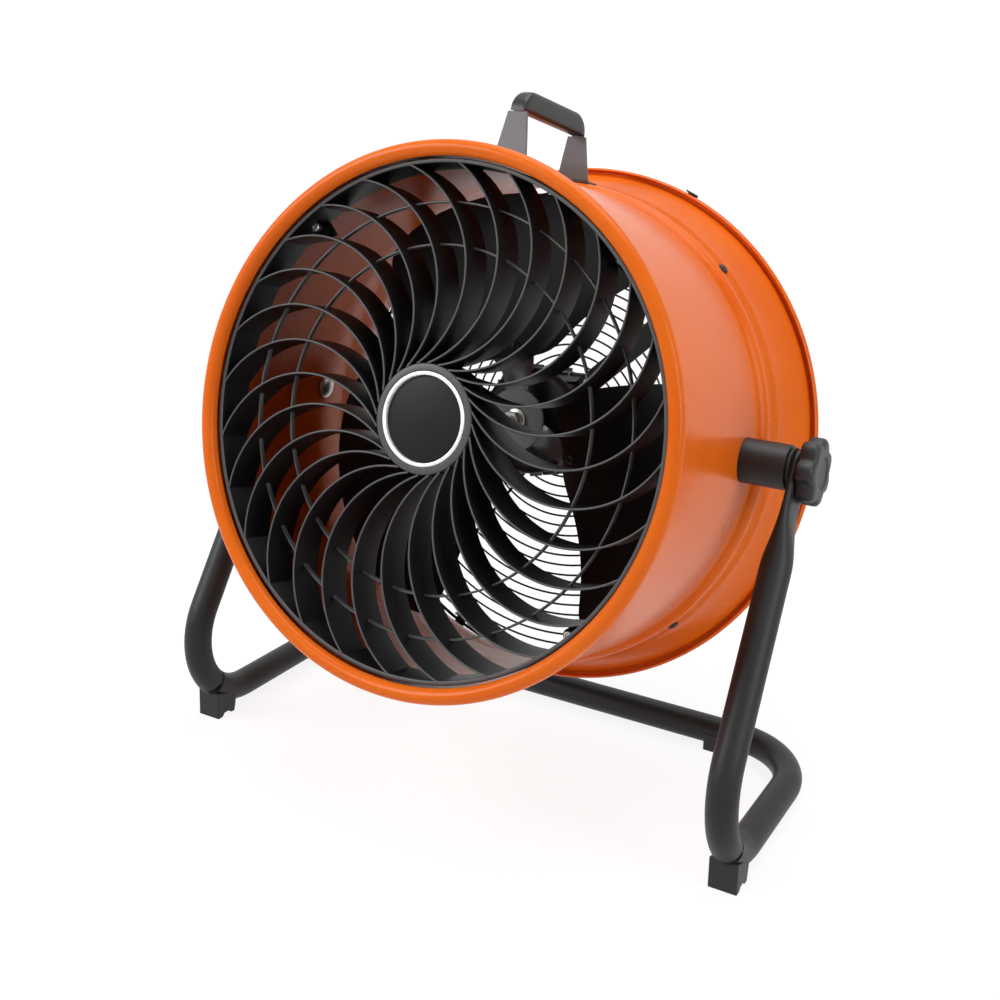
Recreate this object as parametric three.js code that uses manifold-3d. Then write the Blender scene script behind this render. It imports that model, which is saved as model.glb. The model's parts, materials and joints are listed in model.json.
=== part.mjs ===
// Drum fan on a bent tube stand, for blowing air across a workshop floor.
// Millimetres, +Z up. The air leaves towards -Y and the floor is Z = 0. The part's origin is on the floor, at
// the centre of its box. The drum and all in it are drawn level about the tilt pivot, as [radius, ahead] where
// "ahead" is the distance in front of the pivot, and are then tilted together.
import * as THREE from 'three';
import { mergeVertices } from 'three/addons/utils/BufferGeometryUtils.js';
import Module from 'manifold-3d';

const wasm = await Module();
wasm.setup();

// Clearances
const gap = 0.3; // between pieces that touch
const boltPlay = 0.5; // a hole's radius over its bolt's
const roundSides = 36; // facets round the drum
const smallSides = 16; // facets round small turned pieces
const boltSides = 8;
const past = 9; // how far a cutter runs beyond what it cuts
const bite = 1; // how far joined solids run into each other
const headRatio = 1.9; // a pan head's radius over its shank's
const headRise = 2.6;

// Drum shell: rolled sheet steel
const frontDiameter = 500; // over the front bead
const rimGrowth = 24.5; // the rear bead's radius over the front bead's
const drumAhead = 187.5; // pivot to the front of the drum
const drumBehind = 122; // pivot to the back of the drum
const sheetWall = 1.2;
const frontBead = 7.5; // radius of the rolled bead
const rearBead = 5;
const beadProud = 9; // front bead over the cylinder
const stepRise = 6.6; // the pressed step behind the cylinder
const stepStart = -34;
const stepLength = 12;
const flareLead = 22; // the straight stretch behind the step
const flarePower = 1.5; // how much faster the bell mouth opens towards the rear bead
const flareShares = [0, 0.28, 0.6, 1]; // of the bell mouth's run, where it is drawn
const shoulderRise = 0.93; // share of the step's rise that is reached at
const shoulderRun = 0.6; // this share of its length
const rearCurl = [60, 285]; // degrees from straight ahead, from the rolled edge to the wall
const frontCurl = [200, 500]; // and from the wall to the rolled edge
const tabReach = 8; // a grille tab past its screw
const tabWall = 2.5;
const tabBehind = 2; // behind the grille
const tiltAngle = 13; // degrees, nose up as the fan stands

// Front grille: one moulding
const finCount = 28;
const finWidth = 2.2;
const finPhase = 3.3; // degrees, angle of the first fin at its waist
const finWaist = 137; // radius at which a fin stops leaning back and starts leaning on
const finLeanHub = 24.3; // degrees from the waist to the hub end
const finLeanRing = 22.5;
const finSteps = 4;
const grilleDepth = 37;
const grilleInset = 11; // grille's front behind the drum's front
const ringWidth = 4.5;
const ringPlay = 1; // grille ring inside the bead
const cupRadius = 50.5;
const cupWall = 3;
const cupDepth = 6; // its floor behind the grille's front
const frontTrim = 1; // width of the slopes along the grille's front edges
const strutRadii = [158, 196.5];
const strutWidth = 2;
const strutDepth = 4.5;
const strutInset = 14.5; // behind the fins' front edges
const trimOuter = 43;
const trimWidth = 3.8;
const trimRise = 6.8; // over the cup's floor
const discEdge = 2.6; // the disc's edge and middle over the cup's floor
const discRise = 5.5;
const earRadius = 6;
const earLength = 16;
const grilleScrew = 2.4;

// Handle: a band bent to a bridge along the drum, its faces to the front and back
const handleAhead = 16.6; // centre of the handle in front of the pivot
const handleFoot = 69.2; // half the band's length where it meets the drum
const handleShoulder = 66.1; // and just under the grip
const bandFoot = 38; // the band's width at the drum
const bandTop = 20.4; // and just under the grip
const bandNeck = 10; // and inside it
const gripRise = 54.4; // underside of the grip over the cylinder
const gripHeight = 22;
const gripHalf = 66.8;
const gripWidth = 17.6;
const gripRound = 3.5; // slope along the grip's edges
const gripArc = 5; // steps round each of the grip's ends
const barInset = 8; // the band's bridge below the grip's top
const barEnd = 2.2; // band's ends inside the grip's
const barSlope = 9; // cut off the bridge's corners
const strapWall = 3;
const footReach = 20;
const handleScrew = 2.9;

// Motor, bracket and switch
const motorRadius = 55;
const motorWall = 3.5;
const motorRound = 9; // slope round the case's two faces
const earHalf = 8; // half a fixing ear's width, and its thickness
const earPast = 7; // ear past its bolt
const motorFront = -24;
const motorSplit = -61.8;
const motorBack = -101;
const shaftRadius = 6;
const bearingRadius = 16;
const bearingWidth = 10;
const seatWall = 4; // the bearing pocket's wall
const bearingBack = 4.2; // bearing behind the case's face
const rotorRadius = 29;
const rotorAt = 19; // rotor's end behind the case's front face
const coreInner = 30.5; // stator's bore
const coreAt = 21; // stack's end behind the case's face
const windingAt = 16;
const windingRadii = [33, 47];
const threadEnd = 20; // shaft's tip in front of the blades' back plane
const armWidth = 22;
const armWall = 3;
const armTab = 19;
const armScrewShare = 0.55; // of the tab, to its screw
const armInset = 1.6; // the arm's end inside the step's outside
const hexHead = 4;
const hexRatio = 1.7; // a hexagon head's radius over its bolt's
const armScrew = 2.9;
const boltPast = 11; // case's bolts outside its radius
const boxRadius = 40;
const boxDepth = 26;
const boxWall = 2.5;
const boxSlope = 2;
const glandDrop = 24; // gland below the knob
const glandRadius = 6;
const glandFlange = 8.5;
const glandFlangeRise = 4.5;
const glandRise = 10;
const cordHole = 3.6;
const switchShaft = 3;
const switchHalf = 12; // half the switch's height
const switchDeep = 14;
const capacitorHalf = 15; // half its length; it is as wide as the switch is deep
const knobRadius = 13;
const knobBase = 6;
const knobRise = 14;
const knobBar = 3.5; // half the knob's bar

// Fan wheel
const bladeCount = 3;
const bladePhase = 97; // degrees, first spider arm as the wheel stands at rest
const tipClearance = 11;
const rootPlay = 7; // blade's root outside the motor's radius
const bladeHalfRoot = 36; // degrees, half a blade's span at its root
const bladeHalfTip = 43;
const bladeSweepRoot = 14; // degrees, middle of the blade's span past the spider arm at its root
const bladeSweepTip = -4;
const bladeRake = 34; // half a blade's depth along the axis
const bladeWall = 1.6;
const hubRadius = 15;
const hubPlate = 32;
const armOnBlade = 42; // spider arm past the blade's root
const spiderArm = 26; // its width
const spiderWall = 3;
const hubBehind = 14; // hub's end behind the plate
const rivetsAt = [12, 32]; // past the blade's root
const rivetRadius = 5;
const rivetRise = 2;
const cornerShare = 0.05; // of the blade's reach, over which its corners are cut
const rootCut = 0.8; // width left at the root's corners
const tipCut = 0.86;
const nutFlange = 12.5;
const nutFlangeRise = 2.5;
const nutRadius = 9;
const nutRise = 11;

// Rear guard
const wireRadius = 1.1;
const wirePitch = 10.5;
const wireSides = 16;
const guardDisc = 50;
const ribCount = 4;
const ribRadius = 1.6;
const ribSpin = 11.25; // degrees, ribs past the middle between the bracket's arms
const rimWire = 1.7; // the outermost wire over the others
const discHalf = 0.8; // half the guard disc's wall
const clipHalf = 6; // half a clip's width
const clipWall = 2;
const clipHook = 4; // hook in front of the guard's plane
const clipSpin = 22.5; // degrees, clips past the bracket's arms

// Pivots and stand
const spacerRadius = 21;
const pivotBolt = 5;
const boltHead = [12, 3]; // radius and rise of the bolt's flange inside the drum
const boltDome = [8, 5]; // and of the dome on it
const washerWall = 3.3;
const clampRadius = 29.5;
const clampLobe = 2.5;
const clampLobes = 7;
const clampWidth = 17;
const clampEdge = 2;
const clampFloor = 5; // knob's material past the bolt's end
const clampDish = [15, 1.2]; // radius and depth of the hollow in its face
const tubeRadius = 14.3;
const tubeWall = 1.5;
const tubeSides = 12;
const pinchHalf = 4; // half the thickness of the tube's flattened end
const pinchEnd = 18; // tube beyond the pivot
const pinchLength = 32;
const pinchBlend = 62;
const rimPlay = 3.7; // rear bead to the legs
const swingPlay = 29.2; // handle's top to the floor when the drum is upside down
const railClear = 3.2; // rail's underside over the floor
const legReach = 210.7; // leg's line meets the rail this far in front of the pivot
const barBehind = 100;
const frontBend = 72;
const rearBend = 75;
const clipWidth = 27;
const clipFront = 137; // front clip's face in front of the pivot
const clipLength = 26;
const clipRise = 30;
const rearClipAt = 200;
const archRise = 3.5;
const padLength = 7;
const clipSlope = 4; // the front clip's rear face leans back by this
const clipLow = 0.66; // and stands this share of the front face's height
const rearPlay = 1; // rear clip past the tube

// Sizes that follow
const cylinder = frontDiameter / 2 - beadProud;
const rimRadius = frontDiameter / 2 + rimGrowth;
const bore = cylinder - sheetWall;
const grilleFront = drumAhead - grilleInset;
const grilleBack = grilleFront - grilleDepth;
const ringOuter = frontDiameter / 2 - 2 * frontBead - ringPlay;
const ringInner = ringOuter - ringWidth;
const earAt = ringInner - earRadius / 2;
const boltCircle = motorRadius + boltPast;
const bladeRoot = motorRadius + rootPlay;
const bladeTip = bore - tipClearance;
const armReach = bladeRoot + armOnBlade; // spider arm's end radius
const armPlane = motorSplit - gap; // front face of the bracket arms
const gripBottom = cylinder + gripRise;
const gripTop = gripBottom + gripHeight;
const guardPlane = -drumBehind + rearBead + 1;
const guardOuter = rimRadius - 2 * rearBead - 4;
const legPlane = rimRadius + rimPlay + tubeRadius;
const pivotHeight = Math.hypot(gripTop, handleAhead) + swingPlay;
const railLift = tubeRadius + railClear; // rail's centre over the floor
const railDrop = railLift - pivotHeight;
const legLean = Math.atan2(legReach, -railDrop);
const screwAngles = [45, 135, 225, 315];

const black = { color: 0x1b1b1d, roughness: 0.5, metalness: 0.1 };
const powder = { color: 0x232325, roughness: 0.62, metalness: 0.2 };
const orange = { color: 0xe5701e, roughness: 0.25, metalness: 0.15 };
const steel = { color: 0x8f9194, roughness: 0.35, metalness: 0.9 };
const cast = { color: 0x3a3b3d, roughness: 0.6, metalness: 0.6 };

const radians = (degrees) => THREE.MathUtils.degToRad(degrees);
const polar = (radius, degrees) => [radius * Math.cos(radians(degrees)), radius * Math.sin(radians(degrees))];

// A closed geometry as a solid, its faces turned to point out.
function solid(geometry) {
  const bare = geometry.clone();
  bare.deleteAttribute('normal');
  bare.deleteAttribute('uv');
  const merged = mergeVertices(bare, 1e-3);
  const corners = merged.index.array;
  const kept = [];
  for (let i = 0; i < corners.length; i += 3) {
    const [a, b, c] = corners.slice(i, i + 3);
    if (a !== b && b !== c && c !== a) kept.push(a, b, c);
  }
  const place = new THREE.Vector3();
  const next = new THREE.Vector3();
  const last = new THREE.Vector3();
  const points = merged.attributes.position;
  let volume = 0;
  for (let i = 0; i < kept.length; i += 3) {
    place.fromBufferAttribute(points, kept[i]);
    next.fromBufferAttribute(points, kept[i + 1]);
    last.fromBufferAttribute(points, kept[i + 2]);
    volume += place.dot(next.cross(last));
  }
  if (volume < 0) kept.reverse();
  return new wasm.Manifold(
    new wasm.Mesh({ numProp: 3, vertProperties: points.array, triVerts: new Uint32Array(kept) }),
  );
}

function geometryOf(body) {
  const { vertProperties, triVerts } = body.getMesh();
  const geometry = new THREE.BufferGeometry();
  geometry.setAttribute('position', new THREE.BufferAttribute(vertProperties, 3));
  geometry.setIndex(new THREE.BufferAttribute(triVerts, 1));
  return geometry;
}

function add(group, name, body, look) {
  const mesh = new THREE.Mesh(geometryOf(body), new THREE.MeshStandardMaterial(look));
  mesh.name = name;
  group.add(mesh);
}

// A profile of [radius, ahead] points turned about the drum's axis.
function turned(profile, sides) {
  const line = profile.map(([radius, ahead]) => new THREE.Vector2(radius, -ahead));
  return solid(new THREE.LatheGeometry([...line, line[0].clone()], sides));
}

// A round rod between two points.
function rod(radius, start, end, sides) {
  const from = new THREE.Vector3(...start);
  const along = new THREE.Vector3(...end).sub(from);
  const geometry = new THREE.CylinderGeometry(radius, radius, along.length(), sides);
  const up = new THREE.Vector3(0, 1, 0);
  geometry.applyQuaternion(new THREE.Quaternion().setFromUnitVectors(up, along.clone().normalize()));
  const middle = from.addScaledVector(along, 0.5);
  geometry.translate(middle.x, middle.y, middle.z);
  return solid(geometry);
}

function block(low, high) {
  const size = high.map((value, i) => value - low[i]);
  const geometry = new THREE.BoxGeometry(...size);
  geometry.translate(...low.map((value, i) => value + size[i] / 2));
  return solid(geometry);
}

// An outline in the (Y, Z) plane, carried along X from one place to another.
function sideCut(outline, from, to, bevel = null) {
  const shape = new THREE.Shape(outline.map(([y, z]) => new THREE.Vector2(y, z)));
  const trim = bevel ? bevel.bevelThickness : 0;
  const options = { depth: to - from - 2 * trim, bevelEnabled: Boolean(bevel), ...bevel };
  const geometry = new THREE.ExtrudeGeometry(shape, options);
  geometry.translate(0, 0, from + trim);
  geometry.applyMatrix4(new THREE.Matrix4().makeBasis(
    new THREE.Vector3(0, 1, 0), new THREE.Vector3(0, 0, 1), new THREE.Vector3(1, 0, 0)));
  return solid(geometry);
}

// Turned about the drum's axis by an angle seen from the front, anticlockwise.
function spun(body, degrees) {
  return body.rotate([0, -degrees, 0]);
}

// ---------- Drum shell ----------

// Radius of the sheet's middle behind the step: a bell mouth that flares faster towards the rear bead.
function flareRadius(ahead) {
  const start = stepStart - stepLength;
  const end = -drumBehind + 1.5 * rearBead;
  const run = Math.max(0, (start - flareLead - ahead) / (start - flareLead - end));
  const rise = rimRadius - 1.75 * rearBead - (cylinder + stepRise);
  return cylinder + stepRise - sheetWall / 2 + rise * run ** flarePower;
}

function curl(centreAhead, centreRadius, radius, [from, to], steps) {
  const points = [];
  for (let i = 0; i <= steps; i++) {
    const [along, out] = polar(radius, from + ((to - from) * i) / steps);
    points.push([centreRadius + out, centreAhead + along]);
  }
  return points;
}

// The wall's middle line as [radius, ahead], from the flare to the cylinder's front.
function wallLine() {
  const middle = cylinder - sheetWall / 2;
  const stepEnd = stepStart - stepLength;
  const from = -drumBehind + 3 * rearBead;
  const bell = flareShares.map((share) => THREE.MathUtils.lerp(from, stepEnd - flareLead, share));
  const flare = [...bell, stepEnd].map((ahead) => [flareRadius(ahead), ahead]);
  const shoulder = [middle + stepRise * shoulderRise, stepStart - stepLength * shoulderRun];
  return [...flare, shoulder, [middle, stepStart], [middle, drumAhead - 2 * frontBead - 2 * bite]];
}

// The whole sheet's middle line, with its rolled beads.
function sheetLine() {
  const half = sheetWall / 2;
  const rear = curl(-drumBehind + rearBead, rimRadius - rearBead, rearBead - half, rearCurl, 3);
  const front = curl(drumAhead - frontBead, frontDiameter / 2 - frontBead, frontBead - half, frontCurl, 5);
  return [...rear, ...wallLine(), ...front];
}

// The two faces of a sheet that follows a line.
function sheetFaces(line, half) {
  const faces = [[], []];
  line.forEach(([radius, ahead], i) => {
    const before = line[Math.max(i - 1, 0)];
    const after = line[Math.min(i + 1, line.length - 1)];
    const into = new THREE.Vector2(radius - before[0], ahead - before[1]);
    const out = new THREE.Vector2(after[0] - radius, after[1] - ahead);
    if (i === 0) into.copy(out);
    if (i === line.length - 1) out.copy(into);
    const mean = into.normalize().clone().add(out.normalize()).normalize();
    const reach = half / mean.dot(into);
    faces[0].push([radius - mean.y * reach, ahead + mean.x * reach]);
    faces[1].push([radius + mean.y * reach, ahead - mean.x * reach]);
  });
  return faces;
}

// What pieces on the drum's outside are cut by: the outside of its cylinder and flare.
function drumEnvelope() {
  const outside = sheetFaces(wallLine(), sheetWall / 2 + gap)[1];
  return turned([[0, outside[0][1]], ...outside, [0, outside[outside.length - 1][1]]], roundSides);
}

const bracketScrewAt = armPlane + armTab * armScrewShare;

function drumShell() {
  const [inner, outer] = sheetFaces(sheetLine(), sheetWall / 2);
  let shell = turned([...inner, ...outer.reverse()], roundSides);
  for (const angle of screwAngles) {
    const tabFace = -grilleBack + tabBehind;
    const tabEnd = [bore + sheetWall / 2, tabFace + tabWall, earRadius];
    const tab = block([earAt - tabReach, tabFace, -earRadius], tabEnd);
    const hole = rod(grilleScrew + gap, [earAt, tabFace - past, 0], [earAt, tabFace + past, 0], boltSides);
    shell = shell.add(spun(tab.subtract(hole), angle));
    const outside = [rimRadius, -bracketScrewAt, 0];
    const through = rod(armScrew + boltPlay, [bore - past, -bracketScrewAt, 0], outside, boltSides);
    shell = shell.subtract(spun(through, angle));
  }
  const pivots = rod(pivotBolt + boltPlay, [-rimRadius, 0, 0], [rimRadius, 0, 0], boltSides);
  shell = shell.subtract(pivots);
  for (const { ahead } of handleFeet) {
    const below = [0, -ahead, bore - past];
    shell = shell.subtract(rod(handleScrew + boltPlay, below, [0, -ahead, rimRadius], boltSides));
  }
  return shell;
}

// ---------- Front grille ----------

// Circle through three points, as centre and radius.
function circleThrough(a, b, c) {
  const first = [b[0] - a[0], b[1] - a[1]];
  const second = [c[0] - b[0], c[1] - b[1]];
  const one = (b[0] ** 2 + b[1] ** 2 - a[0] ** 2 - a[1] ** 2) / 2;
  const two = (c[0] ** 2 + c[1] ** 2 - b[0] ** 2 - b[1] ** 2) / 2;
  const cross = first[0] * second[1] - first[1] * second[0];
  const x = (one * second[1] - two * first[1]) / cross;
  const y = (first[0] * two - second[0] * one) / cross;
  return { x, y, radius: Math.hypot(a[0] - x, a[1] - y) };
}

// One fin: a strip on edge that follows a circular arc from the hub cup, back round its waist, to the ring.
function fin() {
  const hubEnd = polar(cupRadius, finLeanHub);
  const ringEnd = polar(ringInner, finLeanRing);
  const arc = circleThrough(hubEnd, [finWaist, 0], ringEnd);
  const angleAt = ([x, y]) => Math.atan2(y - arc.y, x - arc.x);
  const overrun = (finWidth * 0.8) / arc.radius;
  const from = angleAt(hubEnd) - overrun;
  const to = angleAt(ringEnd) + overrun;
  const shape = new THREE.Shape();
  shape.absarc(arc.x, arc.y, arc.radius + finWidth / 2, from, to, false);
  shape.absarc(arc.x, arc.y, arc.radius - finWidth / 2, to, from, true);
  const options = { depth: grilleDepth, bevelEnabled: false, curveSegments: finSteps };
  const geometry = new THREE.ExtrudeGeometry(shape, options);
  geometry.rotateX(Math.PI / 2);
  geometry.translate(0, -grilleBack, 0);
  return solid(geometry);
}

function frontGrille() {
  const front = grilleFront;
  const back = grilleBack;
  const outerSlope = [[ringOuter, front - 2 * frontTrim], [ringOuter - frontTrim, front]];
  const innerSlope = [[ringInner + frontTrim, front], [ringInner, front - frontTrim]];
  const ring = [[ringInner, back], [ringOuter, back], ...outerSlope, ...innerSlope];
  let grille = turned(ring, finCount);
  const floor = front - cupDepth;
  const inside = cupRadius - cupWall;
  const under = [[0, floor - cupWall], [inside, floor - cupWall], [inside, back], [cupRadius, back]];
  const step = [[cupRadius, front - 3 * frontTrim], [cupRadius - frontTrim, front - frontTrim]];
  const lip = [[trimOuter + frontTrim, front], [trimOuter + gap, front - frontTrim]];
  grille = grille.add(turned([...under, ...step, ...lip, [trimOuter + gap, floor], [0, floor]], finCount));
  const blade = fin();
  for (let i = 0; i < finCount; i++) grille = grille.add(spun(blade, finPhase + (360 * i) / finCount));
  const strutFront = front - strutInset;
  for (const radius of strutRadii) {
    const inner = radius - strutWidth / 2;
    const outside = radius + strutWidth / 2;
    const strutBack = strutFront - strutDepth;
    const section = [[inner, strutFront], [inner, strutBack], [outside, strutBack], [outside, strutFront]];
    grille = grille.add(turned(section, finCount));
  }
  for (const angle of screwAngles) {
    const ear = rod(earRadius, [earAt, -back, 0], [earAt, -back - earLength, 0], boltSides);
    const hole = rod(grilleScrew + gap, [earAt, -back + past, 0], [earAt, -front, 0], boltSides);
    const seat = [earAt, -back - earLength, 0];
    const driver = rod(headRatio * grilleScrew + gap, seat, [earAt, -front - past, 0], boltSides);
    grille = grille.add(spun(ear, angle)).subtract(spun(hole.add(driver), angle));
  }
  return grille;
}

function addGrille(group) {
  add(group, 'front_grille', frontGrille(), black);
  const floor = grilleFront - cupDepth + gap;
  const edge = trimOuter - trimWidth - gap;
  const crownAt = (share) => floor + discRise - (discRise - discEdge) * share ** 2;
  const crown = [1, 0.8, 0.4, 0].map((share) => [edge * share, crownAt(share)]);
  add(group, 'badge_disc', turned([[0, floor], [edge, floor], ...crown], finCount), black);
  const inner = trimOuter - trimWidth;
  const high = floor + trimRise;
  const low = high - 2 * frontTrim;
  const outside = [[inner, floor], [trimOuter, floor], [trimOuter, low], [trimOuter - frontTrim, high]];
  const trim = turned([...outside, [inner + frontTrim, high], [inner, low]], finCount);
  add(group, 'trim_ring', trim, steel);
  screwAngles.forEach((angle, i) => {
    const head = grilleBack + earLength + gap;
    const cap = rod(grilleScrew * headRatio, [earAt, -head, 0], [earAt, -head - headRise, 0], boltSides);
    const stem = rod(grilleScrew, [earAt, -head - bite, 0], [earAt, -grilleBack + 3 * tabWall, 0], boltSides);
    add(group, `grille_screw_${i + 1}`, spun(cap.add(stem), angle), steel);
  });
}

// ---------- Handle ----------

// Each foot is folded outwards onto the drum: its screw's place, its two ends, and where its top face lies.
const handleFeet = [[1, cylinder], [-1, cylinder + stepRise]].map(([way, under]) => ({
  ahead: handleAhead + way * (handleFoot + footReach / 2),
  from: handleAhead + way * (handleFoot - strapWall),
  to: handleAhead + way * (handleFoot + footReach),
  top: under + gap + strapWall,
}));

const mirrored = (points) => points.map(([y, z]) => [-y, z]).reverse();

// The band seen from the side: two legs and a bridge, joggled in under the grip by half its wall.
function bandSide(grow) {
  const high = gripBottom - gap;
  const barHigh = gripTop - barInset + grow;
  const barLow = gripTop - barInset - strapWall - grow;
  const neckOut = gripHalf - barEnd + grow;
  const neckIn = gripHalf - barEnd - strapWall - grow;
  const cut = [[neckOut, barHigh - barSlope], [neckOut - barSlope, barHigh]];
  const half = [[handleFoot, bore], [handleShoulder, high], [neckOut, high], ...cut];
  const bend = [[neckIn - barSlope + bite, barLow], [neckIn, barLow - barSlope + bite]];
  const leg = [[handleShoulder - strapWall, high], [handleFoot - strapWall, bore]];
  const inside = [...bend, [neckIn, high], ...leg];
  return [...half, ...mirrored(half), ...mirrored(inside), ...inside].map(([y, z]) => [y - handleAhead, z]);
}

// The band seen from the front: it narrows to the grip, and steps in to a neck inside it.
function bandFront(grow) {
  const high = gripBottom - gap;
  const neck = bandNeck / 2 + grow;
  const half = [[bandFoot / 2, bore], [bandTop / 2, high], [neck, high], [neck, gripTop]];
  return [...half, ...mirrored(half)];
}

// The band, or the space it needs inside the grip.
function handleBand(grow) {
  const side = sideCut(bandSide(grow), -bandFoot, bandFoot);
  return side.intersect(sideCut(bandFront(grow), -rimRadius, rimRadius).rotate([0, 0, 90]));
}

function addHandle(group) {
  let strap = handleBand(0);
  for (const { from, to, top } of handleFeet) {
    const ends = [-from, -to].sort((a, b) => a - b);
    strap = strap.add(block([-bandFoot / 2, ends[0], cylinder - past], [bandFoot / 2, ends[1], top]));
  }
  strap = strap.subtract(drumEnvelope());
  for (const { ahead } of handleFeet) {
    strap = strap.subtract(rod(handleScrew + gap, [0, -ahead, bore], [0, -ahead, gripTop], boltSides));
  }
  add(group, 'handle_strap', strap, powder);

  const outline = [];
  for (let i = 0; i <= gripArc; i++) {
    const [y, z] = polar(gripHeight, (90 * i) / gripArc);
    outline.push([gripHalf - gripHeight + y, gripBottom + z]);
  }
  const slope = { bevelThickness: gripRound, bevelSize: gripRound, bevelOffset: -gripRound };
  const side = [...outline, ...mirrored(outline)].map(([y, z]) => [y - handleAhead, z]);
  const grip = sideCut(side, -gripWidth / 2, gripWidth / 2, { ...slope, bevelSegments: 3 });
  add(group, 'handle_grip', grip.subtract(handleBand(gap)), black);

  handleFeet.forEach(({ ahead, top }, i) => {
    const seat = top + gap;
    const at = (height) => [0, -ahead, height];
    const cap = rod(handleScrew * headRatio, at(seat), at(seat + headRise), boltSides);
    const stem = rod(handleScrew, at(seat - 5 * strapWall), at(seat + bite), boltSides);
    add(group, `handle_screw_${i + 1}`, cap.add(stem), steel);
  });
}

// ---------- Motor and bracket ----------

// A cast half of the motor's case, with a pocket for its bearing. Front faces forward, rear backwards.
function motorHalf(face, split, hole) {
  const inwards = Math.sign(split - face);
  const inside = motorRadius - motorWall;
  const at = (depth) => face + inwards * depth;
  const seat = bearingRadius + gap;
  const rim = seat + seatWall;
  const deep = at(motorWall + bearingWidth + bite);
  const edge = [[motorRadius - motorRound, at(0)], [motorRadius, at(motorRound)]];
  const outer = [[hole, at(0)], ...edge, [motorRadius, split]];
  const slope = [[inside, at(motorRound + 2 * bite)], [inside - motorRound + 2 * bite, at(motorWall)]];
  const inner = [[inside, split], ...slope, [rim, at(motorWall)]];
  const pocket = [[rim, deep], [seat, deep], [seat, at(motorWall)]];
  return turned([...outer, ...inner, ...pocket, [hole, at(motorWall)]], smallSides);
}

// One flat arm from the motor's ear to the drum, with a tab bent forward against the wall.
function bracketArm() {
  const end = bore + stepRise - armInset;
  const half = armWidth / 2;
  const corner = [end, -armPlane + armWall, half];
  const strip = block([motorRadius + 2 * bite, -armPlane, -half], corner);
  const tab = block([end - armWall, -armPlane - armTab, -half], corner);
  const inWall = (place) => [place, -bracketScrewAt, 0];
  const inEar = (depth) => [boltCircle, -armPlane + depth, 0];
  const wallHole = rod(armScrew + gap, inWall(end - past), inWall(end + past), boltSides);
  const earHole = rod(armScrew + gap, inEar(-past), inEar(past), boltSides);
  return strip.add(tab).subtract(wallHole).subtract(earHole);
}

function addMotor(group) {
  let front = motorHalf(motorFront, motorSplit + 2 * gap, shaftRadius + 2 * bite);
  for (const angle of screwAngles) {
    const low = [motorRadius - 2 * bite, -motorSplit - earHalf, -earHalf];
    const ear = block(low, [boltCircle + earPast, -motorSplit - 2 * gap, earHalf]);
    const end = [boltCircle, -motorSplit - earHalf - past, 0];
    const hole = rod(armScrew + gap, end, [boltCircle, -motorSplit + past, 0], boltSides);
    front = front.add(spun(ear, angle)).subtract(spun(hole, angle));
  }
  add(group, 'motor_front_housing', front, cast);
  add(group, 'motor_rear_housing', motorHalf(motorBack, motorSplit, 0), cast);
  const outer = motorRadius - motorWall - 3 * gap;
  const [low, high] = windingRadii;
  const end = (stack, winding) => [
    [coreInner, stack], [low, stack], [low, winding], [high, winding], [high, stack], [outer, stack],
  ];
  const first = end(motorFront - coreAt, motorFront - windingAt);
  const second = end(motorBack + coreAt, motorBack + windingAt).reverse();
  add(group, 'stator', turned([...first, ...second], smallSides), cast);
  const rearBearing = motorBack + bearingBack + bearingWidth;
  const bearings = [['bearing_front', motorFront - bearingBack], ['bearing_rear', rearBearing]];
  for (const [name, from] of bearings) {
    const to = from - bearingWidth;
    const hole = shaftRadius + gap;
    const ring = [[hole, from], [bearingRadius, from], [bearingRadius, to], [hole, to]];
    add(group, name, turned(ring, smallSides), steel);
  }
  screwAngles.forEach((angle, i) => {
    add(group, `motor_arm_${i + 1}`, spun(bracketArm(), angle), powder);
    const seat = armPlane - armWall - gap;
    const head = rod(armScrew * hexRatio, [boltCircle, -seat, 0], [boltCircle, -seat + hexHead, 0], 6);
    const tip = [boltCircle, -motorSplit - earHalf - armWall, 0];
    const stem = rod(armScrew, [boltCircle, -seat + bite, 0], tip, boltSides);
    add(group, `motor_bolt_${i + 1}`, spun(head.add(stem), angle), steel);
    const wall = flareRadius(bracketScrewAt) + sheetWall / 2 + gap;
    const top = [wall + headRise, -bracketScrewAt, 0];
    const cap = rod(armScrew * headRatio, [wall, -bracketScrewAt, 0], top, boltSides);
    const end = [bore - armWall, -bracketScrewAt, 0];
    const shank = rod(armScrew, end, [wall + bite, -bracketScrewAt, 0], boltSides);
    add(group, `bracket_screw_${i + 1}`, spun(cap.add(shank), angle), powder);
  });
}

// ---------- Fan wheel ----------

// How far the blade stands ahead of the plate per millimetre round it: a screw surface, flat at the hub.
function bladeSlope(radius) {
  const share = THREE.MathUtils.clamp((radius - bladeRoot) / (bladeTip - bladeRoot), 0, 1);
  const half = radians(THREE.MathUtils.lerp(bladeHalfRoot, bladeHalfTip, share));
  const blend = THREE.MathUtils.smoothstep(radius, hubPlate, bladeRoot);
  return (blend * bladeRake) / (Math.max(radius, bladeRoot) * half);
}

// A box whose grid is laid on the screw surface. Half and sweep give its half width and its middle's place
// round the wheel, in radians, at a share of its reach.
function onScrew(from, to, half, sweep, back, wall, rows, columns) {
  const geometry = new THREE.BoxGeometry(1, 1, 1, columns, 1, rows);
  const points = geometry.attributes.position;
  for (let i = 0; i < points.count; i++) {
    const share = points.getZ(i) + 0.5;
    const radius = THREE.MathUtils.lerp(from, to, share);
    const angle = 2 * points.getX(i) * half(share, radius) + sweep(share);
    const ahead = back + (0.5 - points.getY(i)) * wall + bladeSlope(radius) * radius * angle;
    points.setXYZ(i, radius * Math.cos(angle), -ahead, radius * Math.sin(angle));
  }
  return solid(geometry);
}

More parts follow.
